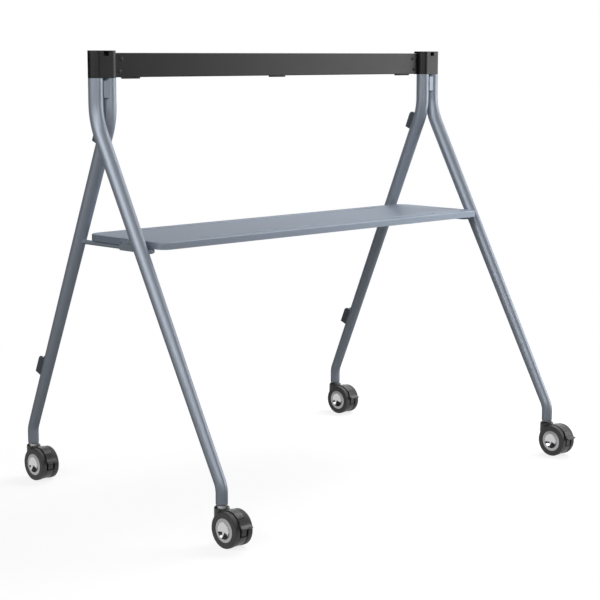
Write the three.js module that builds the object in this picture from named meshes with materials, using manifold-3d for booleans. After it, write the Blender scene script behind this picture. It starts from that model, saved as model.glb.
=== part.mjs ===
// A mobile television stand: two A-shaped side frames of bent, tapered tube, a
// black crossbar between their caps, a tray shelf on two rods, four cable clips
// and four twin-wheel swivel casters with brake pedals.
//
// Millimetres. +Z is up, +X is to the right of somebody facing the stand and
// +Y points to its rear. The origin is on the floor below the middle of the
// stand's outer box.

import * as THREE from "three";
import { mergeVertices } from "three/addons/utils/BufferGeometryUtils.js";
import Module from "manifold-3d";

const wasm = await Module();
wasm.setup();

// Driving dimensions

const GAP = 0.3; // between pieces that touch

// Side frames
const PAIR_SPACING = 1440; // between the middles of the two tube pairs
const TUBE_SPACING = 47.54; // between the two tubes of a pair
const TUBE_TOP_RADIUS = 22.1;
const TUBE_BEND_RADIUS = 22.3; // at the end of the upper bend
const TUBE_FOOT_RADIUS = 17.2;
const TUBE_WALL = 1.6;
const FOOT_ROUNDING = 3.5;
const FRONT_REACH = 538.8; // how far the front feet stand before the tube tops
const REAR_REACH = 426.8;
const BAR_TO_UPPER_BEND = 196.2; // down from the crossbar's top edge
const BAR_TO_LOWER_BEND = 1192.1;
const BAR_TO_FOOT = 1242.2;
const UPPER_BEND_RADIUS = 205;
const LOWER_BEND_RADIUS = 70;
const TUBE_SIDES = 16;
const LOWER_BEND_STEPS = 3;
const UPPER_BEND_STEPS = 6;

// Caps and crossbar
const CAP_ABOVE_BAR = 6.6;
const CAP_BELOW_BAR = 72.7;
const CAP_RADIUS = 22.25;
const CAP_EDGE = 1;
const CAP_PLUG_LENGTH = 46;
const CAP_PLUG_LEAD = 2;
const CAP_PLUG_ROOT = 5; // how far the plug runs into the cap
const NOTCH_WIDTH = 18;
const NOTCH_HEIGHT = 13;
const NOTCH_TOP = 4; // above the crossbar's top edge
const NOTCH_DEPTH = 14;
const BAR_HEIGHT = 71.7;
const BAR_FRONT_Y = 4;
const BAR_WALL = 2;
const BAR_CORNER = 2.5;
const TONGUE_LENGTH = 62;
const PLATE_WIDTH = 18;
const PLATE_HEIGHT = 49.4;
const PLATE_THICKNESS = 3;
const PLATE_BELOW_BAR = 81;
const PLATE_BACK_Y = -16.75;
const BAR_SCREWS = [
  ["upper", 645, 18],
  ["lower", 652.5, 54],
]; // height on the bar, distance from the middle, distance below its top edge
const BAR_SCREW = { head: 6.5, height: 2.4, shank: 2.9, length: 14, socket: 2.6, hole: 3.2 };
const PAD_LENGTH = 64;
const PAD_WIDTH = 12;
const PAD_THICKNESS = 4.2;
const PAD_Y = 15;
const PAD_OFFSET = 602;

// Shelf
const SHELF_HALF_WIDTH = 708;
const SHELF_FRONT_Y = -254.7;
const SHELF_REAR_Y = 111.3;
const SHELF_BELOW_BAR = 538.6;
const SHELF_DEPTH = 20.3;
const SHELF_SHEET = 1.5;
const SHELF_EDGE = 1.2; // rounding of the top edge
const SHELF_FRONT_CORNER = 31;
const SHELF_REAR_CORNER = 47;
const GROOVE_HALF_LENGTH = 530;
const GROOVE_WIDTH = 16;
const GROOVE_DEPTH = 3;
const GROOVES_Y = [-203.5, 71];

// Shelf rods and brackets
const ROD_RADIUS = 7;
const ROD_X = 696;
const ROD_BEND_RADIUS = 14;
const ROD_BEND_STEPS = 5;
const ROD_SIDES = 12;
const BRACKET_SHEET = 2.2;
const BRACKET_FRONT_Y = -117;
const BRACKET_REAR_Y = -55;
const BRACKET_TOP_BELOW_SHELF = 2.4;
const BRACKET_FOOT = 20;
const SHELF_SCREWS = [
  ["front", -96.6],
  ["rear", -63.5],
];
const SHELF_SCREW_BELOW_TOP = 10.2;
const SHELF_SCREW = { head: 4.2, height: 3.5, shank: 2.4, length: 9, socket: 2, hole: 2.7 };
const SCREW_SIDES = 10;
const HOLE_SIDES = 12;

// Cable clips: place on the leg, and how far its middle is along the leg from the foot
const CLIPS = [
  ["upper", 1082],
  ["lower", 275.5],
];
const CLIP_LENGTH = 61;
const CLIP_WIDTH = 30;
const CLIP_REACH = 38.5; // from the leg's middle line to the clip's back
const CLIP_WALL = 3;
const CLIP_FLOOR = 2.5;
const CLIP_SLIT = 8;
const CLIP_SKIRT = 9;

// Casters
const WHEEL_RADIUS = 51.5;
const WHEEL_SIDES = 32;
const ROUND_SIDES = 20;
const PIN_SIDES = 12;
const FOOT_TO_AXLE = 59.7; // down from the leg's end
const TRAIL = 41.9; // the axle trails the swivel axis by this much
const WHEEL_INNER_X = 15.2;
const WHEEL_OUTER_X = 32;
const WHEEL_BEVEL = 2.5;
const WHEEL_EDGE = 3.5;
const CUP_RADIUS = 22.1;
const CUP_DEPTH = 7.5;
const AXLE_RADIUS = 4;
const HUB_END_X = 22.8;
const HOOD_RADIUS = 55;
const HOOD_HALF_WIDTH = 14.5;
const HOOD_FRONT_ANGLE = 138; // degrees about the axle, up from straight back
const CORE_RADIUS = 43;
const NECK_RADIUS = 22;
const NECK_TOP = 1.5; // below the leg's end
const NECK_SHOULDER = 9;
const COLLAR_RADIUS = 14.2;
const COLLAR_TOP = 0.9;
const COLLAR_BOTTOM = 9.2;
const STEM_RADIUS = 6;
const STEM_LENGTH = 33;
const PLUG_LENGTH = 38;
const PEDAL_TIP = 65.5; // from the axle to the front of the brake pedal
const PEDAL_PIVOT = [-31, 18]; // Y and Z from the axle
const PEDAL_HUB_RADIUS = 6.5;
const PEDAL_ARM_HALF_WIDTH = 9;
const PEDAL_PIN_RADIUS = 3;
const PEDAL_PIN_HALF_LENGTH = 12;
const PEDAL_CLEARANCE = [
  [171, 3.5],
  [160, 2.2],
  [149, 1.4],
  [139.2, 1.3],
]; // angle about the axle and height above the treads, wider where the press brings it nearer

// Places worked out from them

const FOOT_Z = WHEEL_RADIUS + FOOT_TO_AXLE;
const BAR_TOP_Z = FOOT_Z + BAR_TO_FOOT;
const BAR_REAR_Y = CAP_RADIUS;
const CAP_BOTTOM_Z = BAR_TOP_Z - CAP_BELOW_BAR;
const TUBE_TOP_Z = CAP_BOTTOM_Z - GAP;
const SHELF_TOP_Z = BAR_TOP_Z - SHELF_BELOW_BAR;
const ROD_Z = SHELF_TOP_Z - SHELF_DEPTH - ROD_RADIUS - 2 * GAP;
const BAR_HALF_LENGTH = PAIR_SPACING / 2 - TUBE_SPACING / 2 - CAP_RADIUS + GAP;
const REAR_OF_BOX = REAR_REACH + NECK_RADIUS;
const FRONT_OF_BOX = -FRONT_REACH - TRAIL - PEDAL_TIP;
const MIDDLE_Y = (REAR_OF_BOX + FRONT_OF_BOX) / 2;

// Solids

function toSolid(geometry) {
  const bare = geometry.index ? geometry.toNonIndexed() : geometry.clone();
  bare.deleteAttribute("normal");
  bare.deleteAttribute("uv");
  const merged = mergeVertices(bare, 1e-4);
  return new wasm.Manifold(
    new wasm.Mesh({
      numProp: 3,
      vertProperties: new Float32Array(merged.attributes.position.array),
      triVerts: new Uint32Array(merged.index.array),
    }),
  );
}

function toGeometry(solid) {
  const mesh = solid.getMesh();
  return new THREE.BufferGeometry()
    .setAttribute("position", new THREE.BufferAttribute(mesh.vertProperties, 3))
    .setIndex(new THREE.BufferAttribute(mesh.triVerts, 1));
}

function join(...geometries) {
  return toGeometry(geometries.map(toSolid).reduce((whole, next) => whole.add(next)));
}

function cut(geometry, ...tools) {
  return toGeometry(tools.map(toSolid).reduce((left, tool) => left.subtract(tool), toSolid(geometry)));
}

function common(geometry, other) {
  return toGeometry(toSolid(geometry).intersect(toSolid(other)));
}

// A box between two corners.
function box([x0, y0, z0], [x1, y1, z1]) {
  return new THREE.BoxGeometry(x1 - x0, y1 - y0, z1 - z0).translate(
    (x0 + x1) / 2,
    (y0 + y1) / 2,
    (z0 + z1) / 2,
  );
}

// A turned piece about the Y axis, from [radius, height] points; a ring's outline closes on itself.
function turned(outline, sides) {
  const points = outline.map(([radius, height]) => new THREE.Vector2(radius, height));
  return new THREE.LatheGeometry(points, sides);
}

const alongZ = (geometry) => geometry.rotateX(Math.PI / 2);
const alongX = (geometry) => geometry.rotateZ(-Math.PI / 2);

// A round bar about the X axis.
function pinAlongX(radius, from, to, sides) {
  return new THREE.CylinderGeometry(radius, radius, to - from, sides)
    .rotateZ(-Math.PI / 2)
    .translate((from + to) / 2, 0, 0);
}

// A flat outline in the YZ plane, made thick along X.
function slabAcrossX(shape, halfWidth, steps = 8) {
  return prism(shape, 0, 2 * halfWidth, steps)
    .rotateX(Math.PI / 2)
    .rotateZ(Math.PI / 2)
    .translate(-halfWidth, 0, 0);
}

function outlineOf(points) {
  return new THREE.Shape(points.map(([a, b]) => new THREE.Vector2(a, b)));
}

function roundedRectangle(x0, y0, x1, y1, lowCorner, highCorner = lowCorner) {
  const shape = new THREE.Shape();
  shape.moveTo(x0 + lowCorner, y0);
  shape.lineTo(x1 - lowCorner, y0);
  shape.absarc(x1 - lowCorner, y0 + lowCorner, lowCorner, -Math.PI / 2, 0);
  shape.lineTo(x1, y1 - highCorner);
  shape.absarc(x1 - highCorner, y1 - highCorner, highCorner, 0, Math.PI / 2);
  shape.lineTo(x0 + highCorner, y1);
  shape.absarc(x0 + highCorner, y1 - highCorner, highCorner, Math.PI / 2, Math.PI);
  shape.lineTo(x0, y0 + lowCorner);
  shape.absarc(x0 + lowCorner, y0 + lowCorner, lowCorner, Math.PI, Math.PI * 1.5);
  return shape;
}

// A prism of a shape in the XY plane between two heights.
function prism(shape, z0, z1, steps = 6) {
  return new THREE.ExtrudeGeometry(shape, {
    depth: z1 - z0,
    bevelEnabled: false,
    curveSegments: steps,
  }).translate(0, 0, z0);
}

// Bent tube

// A plane path of straight runs with a round bend at each inner corner. frameAt
// gives the point and heading at a distance along it, and stations the
// distances at which its shape changes.
function bentPath(corners, radii, bendSteps) {
  const points = corners.map(([a, b]) => new THREE.Vector2(a, b));
  const headingOf = (i) => points[i + 1].clone().sub(points[i]).angle();
  const moved = (point, heading, by) =>
    new THREE.Vector2(point.x + by * Math.cos(heading), point.y + by * Math.sin(heading));
  const pieces = [];
  let from = points[0];
  let length = 0;
  const addRun = (to, heading) => {
    const span = from.distanceTo(to);
    pieces.push({ start: length, span, from, heading, turn: 0, steps: 1 });
    length += span;
  };
  for (let i = 1; i < points.length - 1; i++) {
    const before = headingOf(i - 1);
    const turn = Math.atan2(Math.sin(headingOf(i) - before), Math.cos(headingOf(i) - before));
    const setback = radii[i - 1] * Math.tan(Math.abs(turn) / 2);
    const bendStart = moved(points[i], before, -setback);
    addRun(bendStart, before);
    const span = radii[i - 1] * Math.abs(turn);
    pieces.push({ start: length, span, from: bendStart, heading: before, turn, steps: bendSteps[i - 1] });
    length += span;
    from = moved(points[i], before + turn, setback);
  }
  addRun(points[points.length - 1], headingOf(points.length - 2));

  const frameAt = (distance) => {
    const piece = pieces.findLast((p) => distance >= p.start - 1e-9) ?? pieces[0];
    const along = distance - piece.start;
    const heading = piece.heading + (piece.turn * along) / piece.span;
    if (piece.turn === 0) return { point: moved(piece.from, heading, along), heading };
    const radius = piece.span / piece.turn;
    const centre = moved(piece.from, piece.heading + Math.PI / 2, radius);
    const point = moved(centre, heading - Math.PI / 2, radius);
    return { point, heading };
  };
  const stations = pieces.flatMap(({ start, span, steps }) =>
    Array.from({ length: steps }, (_, i) => start + (span * i) / steps),
  );
  return { length, frameAt, stations: [...stations, length], pieces };
}

// Bends a piece turned about Y onto a plane path: its height becomes distance
// along the path, its X stays square to the path's plane and its Z becomes the
// direction to the left of the path.
function bendOnto(path, geometry) {
  const position = geometry.attributes.position;
  for (let i = 0; i < position.count; i++) {
    const { point, heading } = path.frameAt(position.getY(i));
    const across = position.getZ(i);
    position.setXYZ(
      i,
      position.getX(i),
      point.x - across * Math.sin(heading),
      point.y + across * Math.cos(heading),
    );
  }
  geometry.deleteAttribute("normal");
  geometry.deleteAttribute("uv");
  return geometry;
}

// Side frame legs

// The middle line of a leg from its foot to its top, in the YZ plane.
function legPath(footY) {
  return bentPath(
    [
      [footY, FOOT_Z],
      [footY, BAR_TOP_Z - BAR_TO_LOWER_BEND],
      [0, BAR_TOP_Z - BAR_TO_UPPER_BEND],
      [0, TUBE_TOP_Z],
    ],
    [LOWER_BEND_RADIUS, UPPER_BEND_RADIUS],
    [LOWER_BEND_STEPS, UPPER_BEND_STEPS],
  );
}

// A leg's outer radius: tapered from its upper bend down to its foot.
function legRadius(path, distance) {
  const [, , slope, bend] = path.pieces;
  const bendEnd = bend.start + bend.span;
  if (distance >= bendEnd) return TUBE_TOP_RADIUS;
  if (distance >= bend.start)
    return THREE.MathUtils.mapLinear(distance, bend.start, bendEnd, TUBE_BEND_RADIUS, TUBE_TOP_RADIUS);
  return THREE.MathUtils.mapLinear(
    Math.max(distance, slope.start),
    slope.start,
    bend.start,
    TUBE_FOOT_RADIUS,
    TUBE_BEND_RADIUS,
  );
}

function leg(footY) {
  const path = legPath(footY);
  const radiusAt = (distance) => legRadius(path, distance);
  const rest = path.stations.slice(1);
  const outer = [
    [radiusAt(0) - FOOT_ROUNDING * 0.9, 0],
    [radiusAt(0) - FOOT_ROUNDING * 0.3, FOOT_ROUNDING * 0.35],
    [radiusAt(0), FOOT_ROUNDING],
    ...rest.map((distance) => [radiusAt(distance), distance]),
  ];
  const bore = [
    ...rest.toReversed().map((distance) => [radiusAt(distance) - TUBE_WALL, distance]),
    [radiusAt(0) - FOOT_ROUNDING, FOOT_ROUNDING],
    [radiusAt(0) - FOOT_ROUNDING, 0],
  ];
  return bendOnto(path, turned([...outer, ...bore, outer[0]], TUBE_SIDES));
}

// The space that a leg takes, with the gap all round.
function legSpace(footY) {
  const path = legPath(footY);
  const outline = path.stations.map((distance) => [legRadius(path, distance) + 1.5 * GAP, distance]);
  return bendOnto(path, turned([[0, 0], ...outline, [0, path.length]], TUBE_SIDES));
}

// Caps

// The left-hand cap about its own middle, inner side towards +X.
function capBody() {
  const reach = TUBE_SPACING / 2;
  const inner = PAIR_SPACING / 2 - BAR_HALF_LENGTH - GAP;
  const seatY = BAR_FRONT_Y - GAP;
  const plan = new THREE.Shape();
  plan.moveTo(-reach, -CAP_RADIUS);
  plan.lineTo(reach, -CAP_RADIUS);
  plan.absarc(reach, 0, CAP_RADIUS, -Math.PI / 2, Math.asin(seatY / CAP_RADIUS));
  plan.lineTo(inner, seatY);
  plan.lineTo(inner, CAP_RADIUS);
  plan.lineTo(-reach, CAP_RADIUS);
  plan.absarc(-reach, 0, CAP_RADIUS, Math.PI / 2, Math.PI * 1.5);
  return new THREE.ExtrudeGeometry(plan, {
    depth: CAP_ABOVE_BAR + CAP_BELOW_BAR - 2 * CAP_EDGE,
    bevelThickness: CAP_EDGE,
    bevelSize: CAP_EDGE,
    bevelOffset: -CAP_EDGE,
    bevelSegments: 1,
    curveSegments: 8,
  }).translate(0, 0, CAP_BOTTOM_Z + CAP_EDGE);
}

function capPlug(x) {
  const radius = TUBE_TOP_RADIUS - TUBE_WALL - GAP;
  const outline = [
    [0, 0],
    [radius - CAP_PLUG_LEAD, 0],
    [radius, CAP_PLUG_LEAD],
    [radius, CAP_PLUG_LENGTH + CAP_PLUG_ROOT],
    [0, CAP_PLUG_LENGTH + CAP_PLUG_ROOT],
  ];
  return alongZ(turned(outline, TUBE_SIDES)).translate(x, 0, CAP_BOTTOM_Z - CAP_PLUG_LENGTH);
}

// A hole for a crossbar screw, at a place across the stand.
const barScrewHole = (x, below) =>
  new THREE.CylinderGeometry(BAR_SCREW.hole, BAR_SCREW.hole, 2 * BAR_SCREW.length, HOLE_SIDES).translate(
    x,
    BAR_FRONT_Y,
    BAR_TOP_Z - below,
  );

// The cap of one side frame: side is -1 on the left and 1 on the right.
function cap(side) {
  const inner = PAIR_SPACING / 2 - BAR_HALF_LENGTH;
  const clear = BAR_WALL + GAP;
  const tongue = box(
    [inner - 6, BAR_FRONT_Y + clear, BAR_TOP_Z - BAR_HEIGHT + clear],
    [inner + TONGUE_LENGTH, BAR_REAR_Y - clear, BAR_TOP_Z - clear],
  );
  const notch = box(
    [-NOTCH_WIDTH / 2, -CAP_RADIUS - 2, BAR_TOP_Z + NOTCH_TOP - NOTCH_HEIGHT],
    [NOTCH_WIDTH / 2, -CAP_RADIUS + NOTCH_DEPTH, BAR_TOP_Z + NOTCH_TOP],
  );
  const whole = join(capBody(), capPlug(-TUBE_SPACING / 2), capPlug(TUBE_SPACING / 2), tongue);
  const holes = BAR_SCREWS.map(([, x, below]) => barScrewHole(PAIR_SPACING / 2 - x, below));
  const finished = cut(whole, notch, ...holes);
  return facing(side, finished).translate((side * PAIR_SPACING) / 2, 0, 0);
}

// A piece drawn for the left side, turned into its mirror image for the right.
function facing(side, geometry) {
  if (side < 0) return geometry;
  const mirrored = geometry.index ? geometry.toNonIndexed() : geometry.clone();
  mirrored.scale(-1, 1, 1);
  const position = mirrored.attributes.position;
  const [first, third] = [new THREE.Vector3(), new THREE.Vector3()];
  for (let i = 0; i < position.count; i += 3) {
    first.fromBufferAttribute(position, i);
    third.fromBufferAttribute(position, i + 2);
    position.setXYZ(i, ...third);
    position.setXYZ(i + 2, ...first);
  }
  return mirrored;
}

function spacerPlate() {
  const half = PLATE_WIDTH / 2;
  const shape = roundedRectangle(-half, 0, half, PLATE_HEIGHT, 1.5);
  return alongZ(prism(shape, 0, PLATE_THICKNESS, 2)).translate(
    0,
    PLATE_BACK_Y,
    BAR_TOP_Z - PLATE_BELOW_BAR - PLATE_HEIGHT,
  );
}

// Crossbar

function crossbar() {
  const section = roundedRectangle(BAR_FRONT_Y, -BAR_HEIGHT, BAR_REAR_Y, 0, BAR_CORNER);
  section.holes.push(
    roundedRectangle(
      BAR_FRONT_Y + BAR_WALL,
      -BAR_HEIGHT + BAR_WALL,
      BAR_REAR_Y - BAR_WALL,
      -BAR_WALL,
      0.4,
    ),
  );
  const tube = slabAcrossX(section, BAR_HALF_LENGTH - GAP, 3).translate(0, 0, BAR_TOP_Z);
  const holes = [-1, 1].flatMap((side) => BAR_SCREWS.map(([, x, below]) => barScrewHole(side * x, below)));
  return cut(tube, ...holes);
}

// A socket screw with its head towards -Y, whose head rests on the plane y = 0.
function socketScrew({ head, height, shank, length, socket }) {
  const outline = [
    [0, -height - GAP],
    [head * 0.82, -height - GAP],
    [head, -height * 0.6 - GAP],
    [head, -GAP],
    [shank, -GAP],
    [shank, length],
    [0, length],
  ];
  const recess = new THREE.CylinderGeometry(socket, socket, height, 6).translate(0, -height - GAP, 0);
  return cut(turned(outline, SCREW_SIDES), recess);
}

function barPad() {
  const shape = roundedRectangle(-PAD_LENGTH / 2, 0, PAD_LENGTH / 2, PAD_THICKNESS, 3, 0.4);
  return alongZ(prism(shape, -PAD_WIDTH / 2, PAD_WIDTH / 2, 3)).translate(
    0,
    PAD_Y,
    BAR_TOP_Z - BAR_HEIGHT - GAP - PAD_THICKNESS,
  );
}

// Shelf

const shelfPlan = (inset) =>
  roundedRectangle(
    -SHELF_HALF_WIDTH + inset,
    SHELF_FRONT_Y + inset,
    SHELF_HALF_WIDTH - inset,
    SHELF_REAR_Y - inset,
    SHELF_FRONT_CORNER - inset,
    SHELF_REAR_CORNER - inset,
  );

const groovePlan = (y, grow) =>
  roundedRectangle(
    -GROOVE_HALF_LENGTH - grow,
    y - GROOVE_WIDTH / 2 - grow,
    GROOVE_HALF_LENGTH + grow,
    y + GROOVE_WIDTH / 2 + grow,
    GROOVE_WIDTH / 2 + grow,
  );

function shelf() {
  const bottom = SHELF_TOP_Z - SHELF_DEPTH;
  const block = new THREE.ExtrudeGeometry(shelfPlan(0), {
    depth: SHELF_DEPTH,
    bevelThickness: SHELF_EDGE,
    bevelSize: SHELF_EDGE,
    bevelOffset: -SHELF_EDGE,
    bevelSegments: 1,
    curveSegments: 5,
  }).translate(0, 0, bottom - SHELF_EDGE);
  const belowEdge = box(
    [-SHELF_HALF_WIDTH - 1, SHELF_FRONT_Y - 1, bottom - 5],
    [SHELF_HALF_WIDTH + 1, SHELF_REAR_Y + 1, bottom],
  );
  const hollow = prism(shelfPlan(SHELF_SHEET), bottom - 5, SHELF_TOP_Z - SHELF_SHEET);
  const tray = cut(block, belowEdge, hollow);
  const floor = SHELF_TOP_Z - GROOVE_DEPTH;
  const troughs = GROOVES_Y.map((y) =>
    prism(groovePlan(y, SHELF_SHEET), floor - SHELF_SHEET, SHELF_TOP_Z - SHELF_SHEET / 2, 4),
  );
  const grooves = GROOVES_Y.map((y) => prism(groovePlan(y, 0), floor, SHELF_TOP_Z + 2, 4));
  const holes = [-1, 1].flatMap((side) => shelfScrewHoles(side * SHELF_HALF_WIDTH));
  return cut(join(tray, ...troughs), ...grooves, ...holes);
}

// The holes for one side's shelf screws, at a place across the stand.
const shelfScrewHoles = (x) =>
  SHELF_SCREWS.map(([, y]) =>
    pinAlongX(SHELF_SCREW.hole, -6, 6, HOLE_SIDES).translate(x, y, SHELF_TOP_Z - SHELF_SCREW_BELOW_TOP),
  );

// The rod under one end of the shelf, drawn for the left: forward from the rear
// leg, then out into the side of the front leg.
function shelfRod(side) {
  const frontLegY = yOnLeg(-FRONT_REACH, ROD_Z);
  const rearLegY = yOnLeg(REAR_REACH, ROD_Z);
  const path = bentPath(
    [
      [rearLegY, 0],
      [frontLegY, 0],
      [frontLegY, PAIR_SPACING / 2 + TUBE_SPACING / 2 - ROD_X],
    ],
    [ROD_BEND_RADIUS],
    [ROD_BEND_STEPS],
  );
  const outline = path.stations.map((distance) => [ROD_RADIUS, distance]);
  const bent = bendOnto(path, turned([[0, 0], ...outline, [0, path.length]], ROD_SIDES));
  // The path's plane is laid flat, its first axis along Y and its second towards -X.
  bent.rotateY(-Math.PI / 2).translate(-ROD_X, 0, ROD_Z);
  const rearLeg = legSpace(REAR_REACH).translate(-PAIR_SPACING / 2 + TUBE_SPACING / 2, 0, 0);
  const frontLeg = legSpace(-FRONT_REACH).translate(-PAIR_SPACING / 2 - TUBE_SPACING / 2, 0, 0);
  return facing(side, cut(bent, rearLeg, frontLeg));
}

// Where a leg's middle line is at a height on its sloping run.
function yOnLeg(footY, z) {
  const upper = BAR_TOP_Z - BAR_TO_UPPER_BEND;
  const lower = BAR_TOP_Z - BAR_TO_LOWER_BEND;
  return (footY * (upper - z)) / (upper - lower);
}

function shelfBracket(side) {
  const outside = -SHELF_HALF_WIDTH - GAP;
  const top = SHELF_TOP_Z - BRACKET_TOP_BELOW_SHELF;
  const seat = ROD_Z - ROD_RADIUS - GAP;
  const section = outlineOf([
    [outside, top],
    [outside - BRACKET_SHEET, top],
    [outside - BRACKET_SHEET, seat - BRACKET_SHEET + 2],
    [outside - BRACKET_SHEET + 2, seat - BRACKET_SHEET],
    [outside + BRACKET_FOOT, seat - BRACKET_SHEET],
    [outside + BRACKET_FOOT, seat],
    [outside, seat],
  ]);
  const folded = alongZ(prism(section, -BRACKET_REAR_Y, -BRACKET_FRONT_Y));
  return facing(side, cut(folded, ...shelfScrewHoles(outside)));
}

// Cable clips

// An open channel on the rear of a rear leg, at a distance along it from its foot.
function cableClip(distance) {
  const path = legPath(REAR_REACH);
  const low = path.frameAt(distance - CLIP_LENGTH / 2).point;
  const high = path.frameAt(distance + CLIP_LENGTH / 2).point;
  const radius = legRadius(path, distance);
  const half = CLIP_WIDTH / 2;
  const floor = radius + CLIP_FLOOR;
  const top = CLIP_REACH;
  const channel = outlineOf([
    [-half, radius - CLIP_SKIRT],
    [half, radius - CLIP_SKIRT],
    [half, top - 2],
    [half - 2, top],
    [CLIP_SLIT / 2, top],
    [CLIP_SLIT / 2, top - CLIP_WALL],
    [half - CLIP_WALL, top - CLIP_WALL],
    [half - CLIP_WALL, floor],
    [-half + CLIP_WALL, floor],
    [-half + CLIP_WALL, top - CLIP_WALL],
    [-CLIP_SLIT / 2, top - CLIP_WALL],
    [-CLIP_SLIT / 2, top],
    [-half + 2, top],
    [-half, top - 2],
  ]);
  const length = CLIP_LENGTH / 2;
  const sideView = outlineOf([
    [radius - CLIP_SKIRT - 1, -length],
    [top - 1.5, -length],
    [top, -length + 1.5],
    [top, length - 20],
    [top - 1, length - 13],
    [top - 4, length - 6],
    [top - 8, length - 2],
    [top - 13, length],
    [radius - CLIP_SKIRT - 1, length],
  ]);
  const body = common(prism(channel, -length, length), slabAcrossX(sideView, half + 1));
  // Tipped to follow the leg, which leans forward as it rises.
  body.rotateX(Math.atan2(low.x - high.x, high.y - low.y));
  body.translate(0, (low.x + high.x) / 2, (low.y + high.y) / 2);
  return cut(body, legSpace(REAR_REACH));
}

// Casters, drawn about the axle with the swivel axis TRAIL behind it

const inCaster = (geometry) => geometry.translate(0, -TRAIL, WHEEL_RADIUS);

function casterStem() {
  const bore = TUBE_FOOT_RADIUS - FOOT_ROUNDING - GAP;
  return alongZ(
    turned(
      [
        [0, 0],
        [STEM_RADIUS - 1, 0],
        [STEM_RADIUS, 1],
        [STEM_RADIUS, STEM_LENGTH + 1],
        [bore, STEM_LENGTH + 1],
        [bore, STEM_LENGTH + PLUG_LENGTH - 2],
        [bore - 2, STEM_LENGTH + PLUG_LENGTH],
        [0, STEM_LENGTH + PLUG_LENGTH],
      ],
      PIN_SIDES,
    ),
  ).translate(0, 0, FOOT_Z - STEM_LENGTH);
}

function casterCollar() {
  const bore = STEM_RADIUS + 1.5 * GAP;
  const outline = [
    [bore, -COLLAR_BOTTOM],
    [COLLAR_RADIUS, -COLLAR_BOTTOM],
    [COLLAR_RADIUS, -COLLAR_TOP - 1],
    [COLLAR_RADIUS - 1, -COLLAR_TOP],
    [bore, -COLLAR_TOP],
    [bore, -COLLAR_BOTTOM],
  ];
  return alongZ(turned(outline, ROUND_SIDES)).translate(0, 0, FOOT_Z);
}

// A point about the axle, from a radius and an angle above straight back.
const polar = (radius, degrees) => [
  radius * Math.cos(THREE.MathUtils.degToRad(degrees)),
  radius * Math.sin(THREE.MathUtils.degToRad(degrees)),
];

function sector(radius, innerRadius, from, to, steps) {
  const outer = [];
  const inner = [];
  for (let i = 0; i <= steps; i++) {
    const angle = from + ((to - from) * i) / steps;
    outer.push(polar(radius, angle));
    inner.unshift(polar(innerRadius, angle));
  }
  return outlineOf([...outer, ...inner]);
}

function casterFork() {
  const swivelTop = FOOT_TO_AXLE - NECK_TOP;
  const neck = alongZ(
    turned(
      [
        [0, -3],
        [NECK_RADIUS - 3, -3],
        [NECK_RADIUS, 2],
        [NECK_RADIUS, FOOT_TO_AXLE - NECK_SHOULDER],
        [NECK_RADIUS - 2.2, FOOT_TO_AXLE - NECK_SHOULDER + 4.8],
        [COLLAR_RADIUS + 2, swivelTop],
        [0, swivelTop],
      ],
      ROUND_SIDES,
    ),
  ).translate(0, TRAIL, 0);
  const wheelWell = pinAlongX(WHEEL_RADIUS + 1.5, HOOD_HALF_WIDTH, WHEEL_OUTER_X + 2, ROUND_SIDES);
  const clearedNeck = cut(neck, wheelWell, facing(1, wheelWell));
  const web = outlineOf([[10, 30], [24, 50], [60, 30], [56, 4], [30, -24], [0, -30]]);
  const hood = slabAcrossX(sector(HOOD_RADIUS, 20, 28, HOOD_FRONT_ANGLE, 11), HOOD_HALF_WIDTH);
  const core = pinAlongX(CORE_RADIUS, -HOOD_HALF_WIDTH, HOOD_HALF_WIDTH, ROUND_SIDES);
  const body = join(clearedNeck, hood, core, slabAcrossX(web, HOOD_HALF_WIDTH));

  const collarSeat = new THREE.CylinderGeometry(COLLAR_RADIUS + GAP, COLLAR_RADIUS + GAP, 20, ROUND_SIDES)
    .rotateX(Math.PI / 2)
    .translate(0, TRAIL, FOOT_TO_AXLE - COLLAR_BOTTOM - GAP + 10);
  const stemSpace = STEM_RADIUS + GAP;
  const stemBore = new THREE.CylinderGeometry(stemSpace, stemSpace, STEM_LENGTH + 4, PIN_SIDES)
    .rotateX(Math.PI / 2)
    .translate(0, TRAIL, FOOT_TO_AXLE - (STEM_LENGTH + 4) / 2 + 2);
  const frontWindow = prism(
    outlineOf([[0, 0], [-26, -15], [-26, -23], [26, -23], [26, -15]]),
    FOOT_TO_AXLE - COLLAR_BOTTOM - GAP,
    FOOT_TO_AXLE + 5,
  ).translate(0, TRAIL, 0);
  const axleBore = pinAlongX(AXLE_RADIUS + GAP, -20, 20, PIN_SIDES);
  const pocketSector = sector(HOOD_RADIUS + 7, 22, HOOD_FRONT_ANGLE - 0.1, 205, 8);
  const pedalPocket = slabAcrossX(pocketSector, PEDAL_ARM_HALF_WIDTH + 2 * GAP);
  const pinReach = PEDAL_PIN_HALF_LENGTH + GAP;
  const pinBore = pinAlongX(PEDAL_PIN_RADIUS + GAP, -pinReach, pinReach, PIN_SIDES);
  pinBore.translate(0, ...PEDAL_PIVOT);
  return inCaster(cut(body, collarSeat, stemBore, frontWindow, axleBore, pedalPocket, pinBore));
}

function casterAxle() {
  return inCaster(pinAlongX(AXLE_RADIUS, -HUB_END_X + 2 * GAP, HUB_END_X - 2 * GAP, PIN_SIDES));
}

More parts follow.
